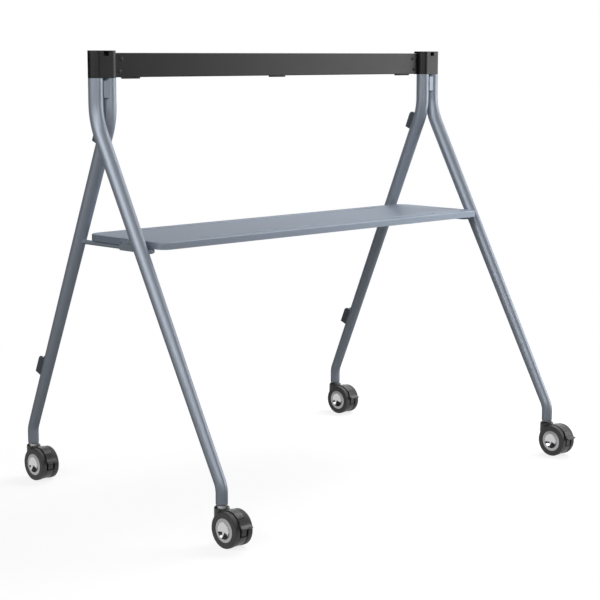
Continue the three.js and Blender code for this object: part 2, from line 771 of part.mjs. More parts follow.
// A wheel that faces +X, with a facet flat on the floor.
function casterWheel(side) {
  const corner = 1 / Math.cos(Math.PI / WHEEL_SIDES);
  const tread = WHEEL_RADIUS * corner;
  const outline = [
    [0, HUB_END_X],
    [AXLE_RADIUS + GAP, HUB_END_X],
    [AXLE_RADIUS + GAP, WHEEL_INNER_X],
    [tread, WHEEL_INNER_X],
    [tread, WHEEL_OUTER_X - WHEEL_BEVEL],
    [tread - WHEEL_EDGE, WHEEL_OUTER_X],
    [CUP_RADIUS, WHEEL_OUTER_X],
    [CUP_RADIUS - 3, WHEEL_OUTER_X - CUP_DEPTH + 1.5],
    [0, WHEEL_OUTER_X - CUP_DEPTH],
  ];
  const wheel = turned(outline, WHEEL_SIDES).rotateY(Math.PI / WHEEL_SIDES);
  return inCaster(facing(-side, alongX(wheel)));
}

function casterPedal() {
  const plate = outlineOf([
    [-41.4, 36.2],
    [-46.5, 29.4],
    [-50.5, 24],
    [-54.5, 20],
    [-60, 16.6],
    [-PEDAL_TIP, 14.6],
    [-PEDAL_TIP + 0.5, 12],
    [-60, 9],
    [-55, 7.5],
    ...PEDAL_CLEARANCE.map(([angle, gap]) => polar(WHEEL_RADIUS + gap, angle)),
  ]);
  const faceView = outlineOf([
    [-14.2, 40],
    [-14.6, 26],
    [-18, 20],
    [-22.5, 16.5],
    [-22.5, 12.5],
    [-15, 9],
    [-7, 7.3],
    [7, 7.3],
    [15, 9],
    [22.5, 12.5],
    [22.5, 16.5],
    [18, 20],
    [14.6, 26],
    [14.2, 40],
  ]);
  const skin = common(slabAcrossX(plate, 24), alongZ(prism(faceView, 20, 75)));
  const arm = outlineOf([
    [PEDAL_PIVOT[0] + 2, PEDAL_PIVOT[1] + 5.5],
    polar(WHEEL_RADIUS + 2.3, 143),
    polar(WHEEL_RADIUS + 2.3, 168),
    [PEDAL_PIVOT[0] + 2, PEDAL_PIVOT[1] - 6],
  ]);
  const atPivot = (radius, reach) =>
    pinAlongX(radius, -reach, reach, PIN_SIDES).translate(0, ...PEDAL_PIVOT);
  const hub = atPivot(PEDAL_HUB_RADIUS, PEDAL_ARM_HALF_WIDTH);
  const pin = atPivot(PEDAL_PIN_RADIUS, PEDAL_PIN_HALF_LENGTH);
  return inCaster(join(skin, slabAcrossX(arm, PEDAL_ARM_HALF_WIDTH), hub, pin));
}

// Materials

const finish = {
  paint: [0x7e858f, 0.45, 0.1],
  blackMetal: [0x2c2d2f, 0.5, 0.1],
  blackPlastic: [0x3a3a3b, 0.55, 0],
  tyre: [0x444444, 0.7, 0],
  steel: [0xc8c9cb, 0.25, 1],
};

function make(name, geometry, [color, roughness, metalness]) {
  const mesh = new THREE.Mesh(geometry, new THREE.MeshStandardMaterial({ color, roughness, metalness }));
  mesh.name = name;
  return mesh;
}

// Assembly

const stand = new THREE.Group();
stand.name = "mobile_tv_stand";
stand.position.y = -MIDDLE_Y;

const sides = [
  ["left", -1],
  ["right", 1],
];
const ends = [
  ["front", -FRONT_REACH, 1],
  ["rear", REAR_REACH, -1],
];

for (const [sideName, side] of sides) {
  for (const [endName, footY, outward] of ends) {
    const footX = side * (PAIR_SPACING / 2 + (outward * TUBE_SPACING) / 2);
    const tube = make(`leg_${endName}_${sideName}`, leg(footY), finish.paint);
    tube.position.x = footX;
    stand.add(tube);

    const caster = new THREE.Group();
    caster.position.set(footX, footY, 0);
    const name = `caster_${endName}_${sideName}`;
    caster.add(make(`${name}_stem`, casterStem(), finish.steel));
    caster.add(make(`${name}_collar`, casterCollar(), finish.steel));
    caster.add(make(`${name}_fork`, casterFork(), finish.blackPlastic));
    caster.add(make(`${name}_axle`, casterAxle(), finish.steel));
    caster.add(make(`${name}_wheel_left`, casterWheel(-1), finish.tyre));
    caster.add(make(`${name}_wheel_right`, casterWheel(1), finish.tyre));
    caster.add(make(`${name}_brake_pedal`, casterPedal(), finish.blackPlastic));
    stand.add(caster);
  }

  stand.add(make(`top_cap_${sideName}`, cap(side), finish.blackMetal));
  const plate = make(`leg_spacer_plate_${sideName}`, spacerPlate(), finish.paint);
  plate.position.x = (side * PAIR_SPACING) / 2;
  stand.add(plate);

  for (const [height, x, below] of BAR_SCREWS) {
    const screw = make(`crossbar_screw_${sideName}_${height}`, socketScrew(BAR_SCREW), finish.blackMetal);
    screw.position.set(side * x, BAR_FRONT_Y, BAR_TOP_Z - below);
    stand.add(screw);
  }

  stand.add(make(`shelf_rod_${sideName}`, shelfRod(side), finish.paint));
  stand.add(make(`shelf_bracket_${sideName}`, shelfBracket(side), finish.paint));
  for (const [place, y] of SHELF_SCREWS) {
    const screw = make(`shelf_screw_${sideName}_${place}`, socketScrew(SHELF_SCREW), finish.blackMetal);
    screw.rotation.z = (-side * Math.PI) / 2 + Math.PI;
    const headX = SHELF_HALF_WIDTH + BRACKET_SHEET + GAP;
    screw.position.set(side * headX, y, SHELF_TOP_Z - SHELF_SCREW_BELOW_TOP);
    stand.add(screw);
  }

  for (const [height, distance] of CLIPS) {
    const clip = make(`cable_clip_${sideName}_${height}`, cableClip(distance), finish.blackPlastic);
    clip.position.x = side * (PAIR_SPACING / 2 - TUBE_SPACING / 2);
    stand.add(clip);
  }
}

stand.add(make("crossbar", crossbar(), finish.blackMetal));
for (const [place, x] of [["left", -PAD_OFFSET], ["middle", 0], ["right", PAD_OFFSET]]) {
  const pad = make(`crossbar_pad_${place}`, barPad(), finish.blackPlastic);
  pad.position.x = x;
  stand.add(pad);
}
stand.add(make("shelf", shelf(), finish.paint));

export default stand;
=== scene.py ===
# The looks of a mobile television stand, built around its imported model.
import functools
import math

import bpy
from mathutils import Matrix, Vector


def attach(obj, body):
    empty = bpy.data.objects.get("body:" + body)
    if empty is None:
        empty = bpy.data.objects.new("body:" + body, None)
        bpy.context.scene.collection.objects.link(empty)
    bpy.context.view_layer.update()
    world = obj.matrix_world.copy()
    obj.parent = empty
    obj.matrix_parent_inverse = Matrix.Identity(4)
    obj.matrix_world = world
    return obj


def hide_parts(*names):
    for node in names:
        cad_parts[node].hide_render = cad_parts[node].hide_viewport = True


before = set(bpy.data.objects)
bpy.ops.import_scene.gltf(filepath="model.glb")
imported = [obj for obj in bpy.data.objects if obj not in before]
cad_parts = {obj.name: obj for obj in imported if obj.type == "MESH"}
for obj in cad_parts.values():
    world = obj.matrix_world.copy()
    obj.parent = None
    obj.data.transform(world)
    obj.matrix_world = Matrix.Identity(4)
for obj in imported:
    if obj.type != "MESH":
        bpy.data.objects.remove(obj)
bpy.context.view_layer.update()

bl_info = {
    "name": "Mobile TV stand",
    "version": (1, 0, 0),
    "blender": (4, 5, 0),
    "location": "View3D > Sidebar > TV stand",
    "description": "Makes the pieces, finishes and studio of a mobile television stand",
    "category": "Object",
}

MM = 0.001
SIDES = {"left": -1, "right": 1}

# The stand's own sizes, in millimetres. Y is counted from the tube tops here, and
# SHIFT_Y moves everything to the frame's middle. GAP is the usual gap where pieces meet.
SHIFT_Y = 98.7
GAP = 0.3
PAIR_SPACING = 1440
TUBE_SPACING = 47.54
TUBE_TOP_RADIUS = 22.1
TUBE_BEND_RADIUS = 22.3
TUBE_FOOT_RADIUS = 17.2
TUBE_WALL = 1.6
FOOT_ROUNDING = 3.5
FOOT_Y = {"front": -538.8, "rear": 426.8}
OUTWARD = {"front": 1, "rear": -1}
FOOT_Z = 111.2
BAR_TOP_Z = 1353.4
UPPER_BEND_Z = BAR_TOP_Z - 196.2
LOWER_BEND_Z = BAR_TOP_Z - 1192.1
UPPER_BEND_RADIUS = 205
LOWER_BEND_RADIUS = 70
CAP_TOP_Z = BAR_TOP_Z + 6.6
CAP_BOTTOM_Z = BAR_TOP_Z - 72.7
CAP_RADIUS = 22.25
BAR_HEIGHT = 71.7
BAR_FRONT_Y = 4
BAR_REAR_Y = 22.25
BAR_WALL = 2
BAR_HALF_LENGTH = PAIR_SPACING / 2 - TUBE_SPACING / 2 - CAP_RADIUS + GAP
BAR_SCREWS = {"upper": (645, 18), "lower": (652.5, 54)}
SHELF_TOP_Z = BAR_TOP_Z - 538.6
SHELF_DEPTH = 20.3
SHELF_SHEET = 1.5
SHELF_HALF_WIDTH = 708
SHELF_FRONT_Y = -254.7
SHELF_REAR_Y = 111.3
GROOVES_Y = (-203.5, 71)
GROOVE_DEPTH = 3
ROD_RADIUS = 7
ROD_BEND_RADIUS = 14
ROD_X = 696
ROD_Z = SHELF_TOP_Z - SHELF_DEPTH - ROD_RADIUS - 0.6
SHELF_SCREWS = {"front": -96.6, "rear": -63.5}
SHELF_SCREW_BELOW_TOP = 10.2
BRACKET_OUTSIDE = 2.5
SPACER_Y = -16.75
SPACER_TOP_Z = BAR_TOP_Z - 81
SPACER_HEIGHT = 49.4
PADS = {"left": -602, "middle": 0, "right": 602}
PAD_Y = 15
PAD_THICKNESS = 4.2
NOTCH_WIDTH = 18
NOTCH_HEIGHT = 13
NOTCH_DEPTH = 14
NOTCH_TOP_Z = BAR_TOP_Z + 4
CLIPS = {"upper": 1082, "lower": 275.5}
CLIP_LENGTH = 61
CLIP_WIDTH = 30
CLIP_REACH = 38.5
WHEEL_RADIUS = 51.5
TRAIL = 41.9
FOOT_TO_AXLE = FOOT_Z - WHEEL_RADIUS
HOOD_RADIUS = 53.4
HOOD_HALF_WIDTH = 13.7
WEB_HALF_WIDTH = 14.5
PEDAL_PIVOT = (-31, 18)


# Shapes


def add_object(name, data, place=(0, 0, 0), turn=(0, 0, 0)):
    """An object in the scene, with its place in metres and its turn about X, Y and Z."""
    made = bpy.data.objects.new(name, data)
    made.location = place
    made.rotation_euler = turn
    bpy.context.scene.collection.objects.link(made)
    return made


def remove_object(made):
    """Takes an object away with its mesh."""
    data = made.data
    bpy.data.objects.remove(made)
    bpy.data.meshes.remove(data)


class Shape:
    """A closed surface: points in millimetres and the faces between them."""

    def __init__(self, points, faces):
        self.points = [Vector(p) for p in points]
        self.faces = [tuple(f) for f in faces]

    def mapped(self, move):
        return Shape([move(p) for p in self.points], self.faces)

    def moved(self, x=0, y=0, z=0):
        by = Vector((x, y, z))
        return self.mapped(lambda p: p + by)

    def turned(self, angle, axis):
        turn = Matrix.Rotation(angle, 3, axis)
        return self.mapped(lambda p: turn @ p)

    def laid(self):
        """Laid forward, so that its height runs towards -Y."""
        return self.turned(math.pi / 2, "X")

    def facing(self, side):
        """Drawn for the left; the mirror image of it for the right."""
        if side < 0:
            return self
        points = [Vector((-p.x, p.y, p.z)) for p in self.points]
        return Shape(points, [f[::-1] for f in self.faces])

    def mesh(self, name, scale=1.0):
        data = bpy.data.meshes.new(name)
        data.from_pydata([p * scale for p in self.points], [], self.faces)
        data.validate()
        data.update()
        return data

    def changed(self, *steps):
        """The shape after modifiers, each given as its type and settings."""
        worker = add_object("worker", self.mesh("worker"))
        for kind, settings in steps:
            modifier = worker.modifiers.new(kind, kind)
            for name, value in settings.items():
                setattr(modifier, name, value)
        bpy.context.view_layer.update()
        seen = worker.evaluated_get(bpy.context.evaluated_depsgraph_get())
        data = seen.to_mesh()
        result = Shape([v.co.copy() for v in data.vertices], [tuple(p.vertices) for p in data.polygons])
        seen.to_mesh_clear()
        remove_object(worker)
        return result

    def combined(self, operation, others):
        tools = [add_object("tool", other.mesh("tool")) for other in others]
        steps = [("BOOLEAN", {"object": t, "operation": operation, "solver": "EXACT"}) for t in tools]
        result = self.changed(*steps)
        for tool in tools:
            remove_object(tool)
        return result

    def joined(self, *others):
        return self.combined("UNION", others)

    def less(self, *others):
        return self.combined("DIFFERENCE", others)

    def within(self, *others):
        return self.combined("INTERSECT", others)

    def rounded(self, width, segments, angle=50):
        settings = {
            "width": width,
            "segments": segments,
            "limit_method": "ANGLE",
            "angle_limit": math.radians(angle),
            "use_clamp_overlap": True,
            "miter_outer": "MITER_ARC",
        }
        return self.changed(("BEVEL", settings))

    def moulded(self, cell, rounds):
        """One skin over joined bodies, with every inner and outer edge softened."""
        remesh = {"mode": "VOXEL", "voxel_size": cell, "use_smooth_shade": True}
        return self.changed(("REMESH", remesh), ("SMOOTH", {"factor": 0.5, "iterations": rounds}))


def arc(middle, radius, start, end, steps):
    """Points of an arc from one angle to another, in degrees."""
    angles = [math.radians(start + (end - start) * i / steps) for i in range(steps + 1)]
    return [(middle[0] + radius * math.cos(a), middle[1] + radius * math.sin(a)) for a in angles]


def rounded_rectangle(x0, y0, x1, y1, low, high=None, steps=8):
    high = low if high is None else high
    return [
        *arc((x1 - low, y0 + low), low, -90, 0, steps),
        *arc((x1 - high, y1 - high), high, 0, 90, steps),
        *arc((x0 + high, y1 - high), high, 90, 180, steps),
        *arc((x0 + low, y0 + low), low, 180, 270, steps),
    ]


def lofted(rings):
    """A body through rings of equally many points, closed at both ends."""
    count = len(rings[0])
    points = [p for ring in rings for p in ring]
    faces = [tuple(reversed(range(count)))]
    for r in range(len(rings) - 1):
        for i in range(count):
            a = r * count + i
            b = r * count + (i + 1) % count
            faces.append((a, b, b + count, a + count))
    last = (len(rings) - 1) * count
    faces.append(tuple(range(last, last + count)))
    return Shape(points, faces)


def level(outline, z):
    return [(x, y, z) for x, y in outline]


def prism(outline, z0, z1):
    return lofted([level(outline, z) for z in (z0, z1)])


def slab(outline, half_width):
    """An outline in the YZ plane, made thick along X."""
    return lofted([[(x, y, z) for y, z in outline] for x in (-half_width, half_width)])


def turned(outline, sides):
    """A turned body about Z, from (radius, height) points that start and end on the axis, or a ring."""
    on_axis = outline[0][0] == 0 and outline[-1][0] == 0
    rings = outline[1:-1] if on_axis else outline
    points = []
    for radius, height in rings:
        for i in range(sides):
            angle = 2 * math.pi * i / sides
            points.append((radius * math.cos(angle), radius * math.sin(angle), height))
    faces = []
    spans = len(rings) - 1 if on_axis else len(rings)
    for r in range(spans):
        for i in range(sides):
            j = (i + 1) % sides
            low = r * sides
            high = (r + 1) % len(rings) * sides
            faces.append((low + i, low + j, high + j, high + i))
    if on_axis:
        points += [(0, 0, outline[0][1]), (0, 0, outline[-1][1])]
        first = len(points) - 2
        last = (len(rings) - 1) * sides
        for i in range(sides):
            j = (i + 1) % sides
            faces.append((first, j, i))
            faces.append((first + 1, last + i, last + j))
    return Shape(points, faces)


def along_x(shape):
    return shape.turned(math.pi / 2, "Y")


def pin(radius, z0, z1, sides):
    return turned([(0, z0), (radius, z0), (radius, z1), (0, z1)], sides)


def pin_along_x(radius, x0, x1, sides):
    return along_x(pin(radius, x0, x1, sides))


class Path:
    """A plane path of straight runs with a round bend at each inner corner."""

    TINY = 1e-6

    def __init__(self, corners, radii, step):
        points = [Vector(c) for c in corners]
        self.pieces = []
        self.length = 0
        start = points[0]
        for i in range(1, len(points) - 1):
            before = self.heading(points[i - 1], points[i])
            after = self.heading(points[i], points[i + 1])
            turn = math.atan2(math.sin(after - before), math.cos(after - before))
            setback = radii[i - 1] * math.tan(abs(turn) / 2)
            bend = self.step(points[i], before, -setback)
            self.add(start, before, 0, (bend - start).length, 1)
            steps = max(2, round(abs(math.degrees(turn)) / step))
            self.add(bend, before, turn, radii[i - 1] * abs(turn), steps)
            start = self.step(points[i], before + turn, setback)
        self.add(start, self.heading(points[-2], points[-1]), 0, (points[-1] - start).length, 1)

    @staticmethod
    def heading(a, b):
        return math.atan2(b.y - a.y, b.x - a.x)

    @staticmethod
    def step(point, heading, by):
        return point + Vector((math.cos(heading), math.sin(heading))) * by

    def add(self, start, heading, turn, span, steps):
        self.pieces.append((self.length, span, start, heading, turn, steps))
        self.length += span

    def at(self, distance):
        """The point and heading at a distance along the path."""
        reached = [p for p in self.pieces if distance >= p[0] - self.TINY]
        begin, span, start, heading, turn, _ = reached[-1]
        along = distance - begin
        now = heading + turn * along / span
        if turn == 0:
            return self.step(start, heading, along), now
        radius = span / turn
        centre = self.step(start, heading + math.pi / 2, radius)
        return self.step(centre, now - math.pi / 2, radius), now

    def stations(self):
        inner = [b + span * i / steps for b, span, _, _, _, steps in self.pieces for i in range(steps)]
        return [*inner, self.length]

    def bent(self, shape):
        """A body turned about Z, bent so that its height runs along the path in the YZ plane."""

        def move(p):
            point, heading = self.at(min(max(p.z, 0), self.length))
            return Vector((p.x, point.x + p.y * math.sin(heading), point.y - p.y * math.cos(heading)))

        return shape.mapped(move)


# Finishes


class Value:
    """A number that changes over a surface. Sums written with it add Math nodes."""

    def __init__(self, finish, output):
        self.finish = finish
        self.output = output

    def with_math(self, operation, *values):
        inputs = dict(enumerate(values))
        node = self.finish.node("ShaderNodeMath", {"operation": operation}, inputs)
        return Value(self.finish, node.outputs[0])

    def __add__(self, other):
        return self.with_math("ADD", self, other)

    def __radd__(self, other):
        return self.with_math("ADD", other, self)

    def __sub__(self, other):
        return self.with_math("SUBTRACT", self, other)

    def __rsub__(self, other):
        return self.with_math("SUBTRACT", other, self)

    def __mul__(self, other):
        return self.with_math("MULTIPLY", self, other)

    def __rmul__(self, other):
        return self.with_math("MULTIPLY", other, self)

    def __pow__(self, other):
        return self.with_math("POWER", self, other)

    def __rpow__(self, other):
        return self.with_math("POWER", other, self)

    def larger(self, other):
        return self.with_math("MAXIMUM", self, other)

    def above(self, low, high):
        """0 where the value is low, 1 where it is high, and smooth between."""
        settings = {"interpolation_type": "SMOOTHSTEP"}
        inputs = {"Value": self, "From Min": low, "From Max": high}
        return Value(self.finish, self.finish.node("ShaderNodeMapRange", settings, inputs).outputs[0])


class Finish:
    """A material or world under construction. Places on it are read in millimetres."""

    def __init__(self, name, kind=bpy.data.materials):
        self.material = kind.new(name)
        self.material.use_nodes = True
        self.tree = self.material.node_tree
        self.tree.nodes.clear()

    @functools.cached_property
    def place(self):
        place = self.node("ShaderNodeTexCoord").outputs["Object"]
        scaled = self.node("ShaderNodeVectorMath", {"operation": "SCALE"}, {0: place, "Scale": 1 / MM})
        return scaled.outputs[0]

    def node(self, kind, settings=None, values=None):
        """A node of a type, with its settings and then the values or links of its sockets."""
        node = self.tree.nodes.new(kind)
        for name, value in (settings or {}).items():
            setattr(node, name, value)
        for key, value in (values or {}).items():
            value = value.output if isinstance(value, Value) else value
            if isinstance(value, bpy.types.NodeSocket):
                self.tree.links.new(value, node.inputs[key])
            else:
                node.inputs[key].default_value = value
        return node

    def along(self, axis):
        split = self.node("ShaderNodeSeparateXYZ", {}, {0: self.place})
        return Value(self, split.outputs[axis])

    def noise(self, size, detail, roughness=0.5, stretch=(1, 1, 1), seed=0):
        """Noise whose features are about this many millimetres across."""
        values = {0: self.place, 1: [s / size for s in stretch]}
        place = self.node("ShaderNodeVectorMath", {"operation": "MULTIPLY"}, values).outputs[0]
        values = {"Vector": place, "W": seed, "Scale": 1.0, "Detail": detail, "Roughness": roughness}
        node = self.node("ShaderNodeTexNoise", {"noise_dimensions": "4D"}, values)
        return Value(self, node.outputs[0])

    def mixed(self, factor, a, b):
        """A colour between two others."""
        values = {0: factor, 6: self.colour(a), 7: self.colour(b)}
        return self.node("ShaderNodeMix", {"data_type": "RGBA"}, values).outputs[2]

    @staticmethod
    def colour(c):
        return c if isinstance(c, bpy.types.NodeSocket) else (*c[:3], 1.0)

    def bumped(self, height, depth):
        """A surface direction from a height, whose whole depth is given in millimetres."""
        values = {"Height": height, "Distance": depth * MM, "Strength": 1.0}
        return self.node("ShaderNodeBump", {}, values).outputs[0]

    def surface(self, colour, roughness, normal, **uniform):
        """Ends the material in a Principled shader; the last values are the same all over it."""
        values = {"Base Color": self.colour(colour), "Roughness": roughness, "Normal": normal}
        for name, value in uniform.items():
            values[name.replace("_", " ").title().replace("Ior", "IOR")] = value
        shader = self.node("ShaderNodeBsdfPrincipled", {}, values)
        self.node("ShaderNodeOutputMaterial", {}, {"Surface": shader.outputs[0]})


def shade(colour, factor):
    return tuple(c * factor for c in colour[:3])


# Tints of what metallic paint mirrors at a low angle
EDGE_TINT = (0.4, 0.43, 0.48, 1.0)
SHEET_EDGE_TINT = (0.12, 0.13, 0.15, 1.0)


def painted_tube(finish, colour):
    """Satin metallic powder coat: fine orange peel, small bright flecks and faint clouds."""
    peel = finish.noise(1.4, 2)
    cloud = finish.noise(90, 2, seed=3)
    speck = finish.noise(0.5, 1, seed=7).above(0.62, 0.8)
    paint = finish.mixed(cloud, shade(colour, 0.97), shade(colour, 1.03))
    paint = finish.mixed(speck * 0.08, paint, shade(colour, 1.25))
    roughness = 0.37 + cloud * 0.04 + speck * 0.04
    sheen = {"metallic": 0.35, "specular_tint": EDGE_TINT, "specular_ior_level": 0.2}
    finish.surface(paint, roughness, finish.bumped(peel, 0.0015), **sheen)


def painted_sheet(finish, colour):
    """A coarser powder coat, with the leather-like grain of thick paint on sheet."""
    grain = finish.noise(0.9, 3, 0.6)
    cloud = finish.noise(140, 2, seed=5)
    speck = finish.noise(0.6, 1, seed=9).above(0.6, 0.75)
    paint = finish.mixed(cloud, shade(colour, 0.98), shade(colour, 1.02))
    paint = finish.mixed(speck * 0.1, paint, shade(colour, 1.2))
    roughness = 0.44 + cloud * 0.05 + speck * 0.04
    sheen = {"metallic": 0.5, "specular_tint": SHEET_EDGE_TINT, "specular_ior_level": 0.1}
    finish.surface(paint, roughness, finish.bumped(grain, 0.006), **sheen)


def black_coat(finish, colour):
    """Fine-textured black powder coat."""
    grain = finish.noise(0.7, 3, 0.6, seed=1)
    cloud = finish.noise(60, 2, seed=2)
    coat = finish.mixed(grain.above(0.45, 0.7) * 0.5, shade(colour, 0.9), shade(colour, 1.2))
    roughness = 0.36 + cloud * 0.05 + grain * 0.05
    finish.surface(coat, roughness, finish.bumped(grain, 0.005), specular_ior_level=0.48)


def black_screw(finish, colour):
    """Black oxide on steel, with a sheen in small rubbed patches."""
    grain = finish.noise(0.25, 2, seed=4)
    rub = finish.noise(2.5, 2, seed=6).above(0.5, 0.7)
    coat = finish.mixed(rub * 0.4, colour, shade(colour, 1.6))
    finish.surface(coat, 0.34 - rub * 0.06, finish.bumped(grain, 0.005), metallic=0.6)


def moulded_plastic(finish, colour, gloss):
    """Moulded nylon with a fine spark-eroded grain, a little uneven in tone and gloss."""
    grain = finish.noise(0.45, 2, 0.55, seed=11)
    cloud = finish.noise(24, 3, seed=12)
    skin = finish.mixed(cloud, shade(colour, 0.92), shade(colour, 1.08))
    roughness = gloss + cloud * 0.06 + grain * 0.04
    finish.surface(skin, roughness, finish.bumped(grain, 0.006))


def wheel_tread(finish, colour):
    """Soft dark tread: matt, dusty in places, with fine marks that run round the rim."""
    dust = finish.noise(7, 3, 0.6, seed=13)
    marks = finish.noise(0.8, 2, stretch=(1.0, 0.15, 0.15), seed=14)
    skin = finish.mixed(dust.above(0.4, 0.7) * 0.35, colour, shade(colour, 1.2))
    roughness = 0.5 + dust * 0.08 + marks * 0.05
    finish.surface(skin, roughness, finish.bumped(marks, 0.005))


def bright_metal(finish, colour, gloss, depth, metallic):
    """Polished or plated metal with a fine grain and faint clouds."""
    cloud = finish.noise(9, 2, seed=15)
    grain = finish.noise(0.3, 2, seed=16)
    metal = finish.mixed(cloud, shade(colour, 0.96), colour)
    roughness = gloss + cloud * 0.05 + grain * 0.03
    finish.surface(metal, roughness, finish.bumped(grain, depth), metallic=metallic)


def rubber_pad(finish, colour):
    """Matt rubber with a coarse grain."""
    grain = finish.noise(0.6, 3, 0.65, seed=17)
    skin = finish.mixed(grain.above(0.5, 0.75) * 0.4, colour, shade(colour, 1.8))
    finish.surface(skin, 0.62 + grain * 0.1, finish.bumped(grain, 0.02))


# The forms of the pieces


def leg_path(end):
    foot = FOOT_Y[end]
    corners = [(foot, FOOT_Z), (foot, LOWER_BEND_Z), (0, UPPER_BEND_Z), (0, CAP_BOTTOM_Z - GAP)]
    return Path(corners, [LOWER_BEND_RADIUS, UPPER_BEND_RADIUS], 2)


def leg_radius(path, distance):
    """The tube's outer radius: tapered from the upper bend down to the foot."""
    slope, bend = path.pieces[2], path.pieces[3]
    bend_end = bend[0] + bend[1]
    if distance >= bend_end:
        return TUBE_TOP_RADIUS
    if distance >= bend[0]:
        share = (distance - bend[0]) / bend[1]
        return TUBE_BEND_RADIUS + (TUBE_TOP_RADIUS - TUBE_BEND_RADIUS) * share
    share = max(0, distance - slope[0]) / slope[1]
    return TUBE_FOOT_RADIUS + (TUBE_BEND_RADIUS - TUBE_FOOT_RADIUS) * share


def leg_shape(end):
    path = leg_path(end)
    rest = path.stations()[1:]
    foot = leg_radius(path, 0)
    rounding = arc((foot - FOOT_ROUNDING, FOOT_ROUNDING), FOOT_ROUNDING, -80, 0, 6)
    outer = rounding + [(leg_radius(path, d), d) for d in rest]
    bore = [(leg_radius(path, d) - TUBE_WALL, d) for d in reversed(rest)]
    bore += [(foot - FOOT_ROUNDING, FOOT_ROUNDING), (foot - FOOT_ROUNDING, rounding[0][1])]
    return path.bent(turned(outer + bore, 56))


def leg_space(end, clear):
    """The solid that a leg fills, made wider all round by a clearance."""
    path = leg_path(end)
    outline = [(leg_radius(path, d) + clear, d) for d in path.stations()]
    return path.bent(turned([(0, 0), *outline, (0, path.length)], 56))


def leg_x(end, side):
    return side * (PAIR_SPACING / 2 + OUTWARD[end] * TUBE_SPACING / 2)


def cap_shape(side, edge):
    reach = TUBE_SPACING / 2
    inner = PAIR_SPACING / 2 - BAR_HALF_LENGTH - GAP
    seat = BAR_FRONT_Y - GAP
    seat_angle = math.degrees(math.asin(seat / CAP_RADIUS))
    outline = [
        (-reach, -CAP_RADIUS),
        *arc((reach, 0), CAP_RADIUS, -90, seat_angle, 18),
        (inner, seat),
        (inner, CAP_RADIUS),
        *arc((-reach, 0), CAP_RADIUS, 90, 268, 32),
    ]
    body = prism(outline, CAP_BOTTOM_Z, CAP_TOP_Z)
    half = NOTCH_WIDTH / 2
    opening = rounded_rectangle(-half, -CAP_RADIUS - 2, half, -CAP_RADIUS + NOTCH_DEPTH, 0.8, steps=4)
    notch = prism(opening, NOTCH_TOP_Z - NOTCH_HEIGHT, NOTCH_TOP_Z)
    body = body.less(notch).rounded(edge, 3, 40)
    plug = [(0, -46), (18.2, -46), (20.2, -44), (20.2, 3), (0, 3)]
    plugs = [turned(plug, 40).moved(x, 0, CAP_BOTTOM_Z) for x in (-reach, reach)]
    clear = 2.3
    root, tip = inner - 5.7, inner + 62
    front, rear = BAR_FRONT_Y + clear, BAR_REAR_Y - clear
    section = [(root, front), (tip, front), (tip, rear), (root, rear)]
    tongue = prism(section, BAR_TOP_Z - BAR_HEIGHT + clear, BAR_TOP_Z - clear).rounded(1.0, 2)
    whole = body.joined(*plugs, tongue)
    return whole.facing(side).moved(side * PAIR_SPACING / 2)


def spacer_shape(side):
    outline = rounded_rectangle(-9, 0, 9, SPACER_HEIGHT, 1.8, steps=5)
    plate = prism(outline, 0, 3).rounded(0.6, 3).laid()
    return plate.moved(side * PAIR_SPACING / 2, SPACER_Y, SPACER_TOP_Z - SPACER_HEIGHT)


def crossbar_shape():
    outer = rounded_rectangle(BAR_FRONT_Y, -BAR_HEIGHT, BAR_REAR_Y, 0, 2.5)
    front, rear = BAR_FRONT_Y + BAR_WALL, BAR_REAR_Y - BAR_WALL
    inner = rounded_rectangle(front, BAR_WALL - BAR_HEIGHT, rear, -BAR_WALL, 0.6, steps=3)
    bar = slab(outer, BAR_HALF_LENGTH - GAP).less(slab(inner, BAR_HALF_LENGTH + 5))
    holes = []
    for side in SIDES.values():
        for x, below in BAR_SCREWS.values():
            holes.append(pin(3.2, -6, 6, 32).laid().moved(side * x, BAR_FRONT_Y, -below))
    return bar.less(*holes).moved(z=BAR_TOP_Z)


def polar(radius, degrees):
    return (radius * math.cos(math.radians(degrees)), radius * math.sin(math.radians(degrees)))


def hexagon(corner_radius):
    return [polar(corner_radius, 60 * i) for i in range(6)]


def bar_screw_shape():
    """A low domed socket screw, its head towards -Y and its seat at y = 0."""
    dome = arc((0, -4.2), 7.4, 42, 68, 7)
    outline = [(0, -14), (2.4, -14), (2.9, -13.5), (2.9, GAP), (6.3, GAP), (6.5, 0.5), *dome, (0, 2.66)]
    socket = prism(hexagon(2.6), 0.7, 4)
    return turned(outline, 40).less(socket).laid()


def shelf_screw_shape():
    """A cylinder-head socket screw, its head towards -Y and its seat at y = 0."""
    outline = [(0, -9), (2, -9), (2.4, -8.6), (2.4, GAP), (4.2, GAP), (4.2, 3.3), (3.7, 3.8), (0, 3.8)]
    socket = prism(hexagon(2.0), 1.6, 5)
    return turned(outline, 36).less(socket).laid()


def pad_shape(x):
    outline = rounded_rectangle(-32, 0, 32, PAD_THICKNESS, 3, 0.4, steps=6)
    pad = prism(outline, -6, 6).rounded(0.5, 2).laid()
    return pad.moved(x, PAD_Y, BAR_TOP_Z - BAR_HEIGHT - GAP - PAD_THICKNESS)


def shelf_ring(inset, z):
    low, high = 31 - inset, 47 - inset
    x, front, rear = SHELF_HALF_WIDTH - inset, SHELF_FRONT_Y + inset, SHELF_REAR_Y - inset
    return level(rounded_rectangle(-x, front, x, rear, low, high, 16), z)


def groove_ring(y, grow, z):
    half, end = 8 + grow, 530 + grow
    return level(rounded_rectangle(-end, y - half, end, y + half, half - 0.01, steps=12), z)


def shelf_screw_holes(x):
    """Clearance for the shelf's screws, through the sheet that stands at x."""
    hole = pin_along_x(2.7, x - 6, x + 6, 24)
    return [hole.moved(0, y, SHELF_TOP_Z - SHELF_SCREW_BELOW_TOP) for y in SHELF_SCREWS.values()]


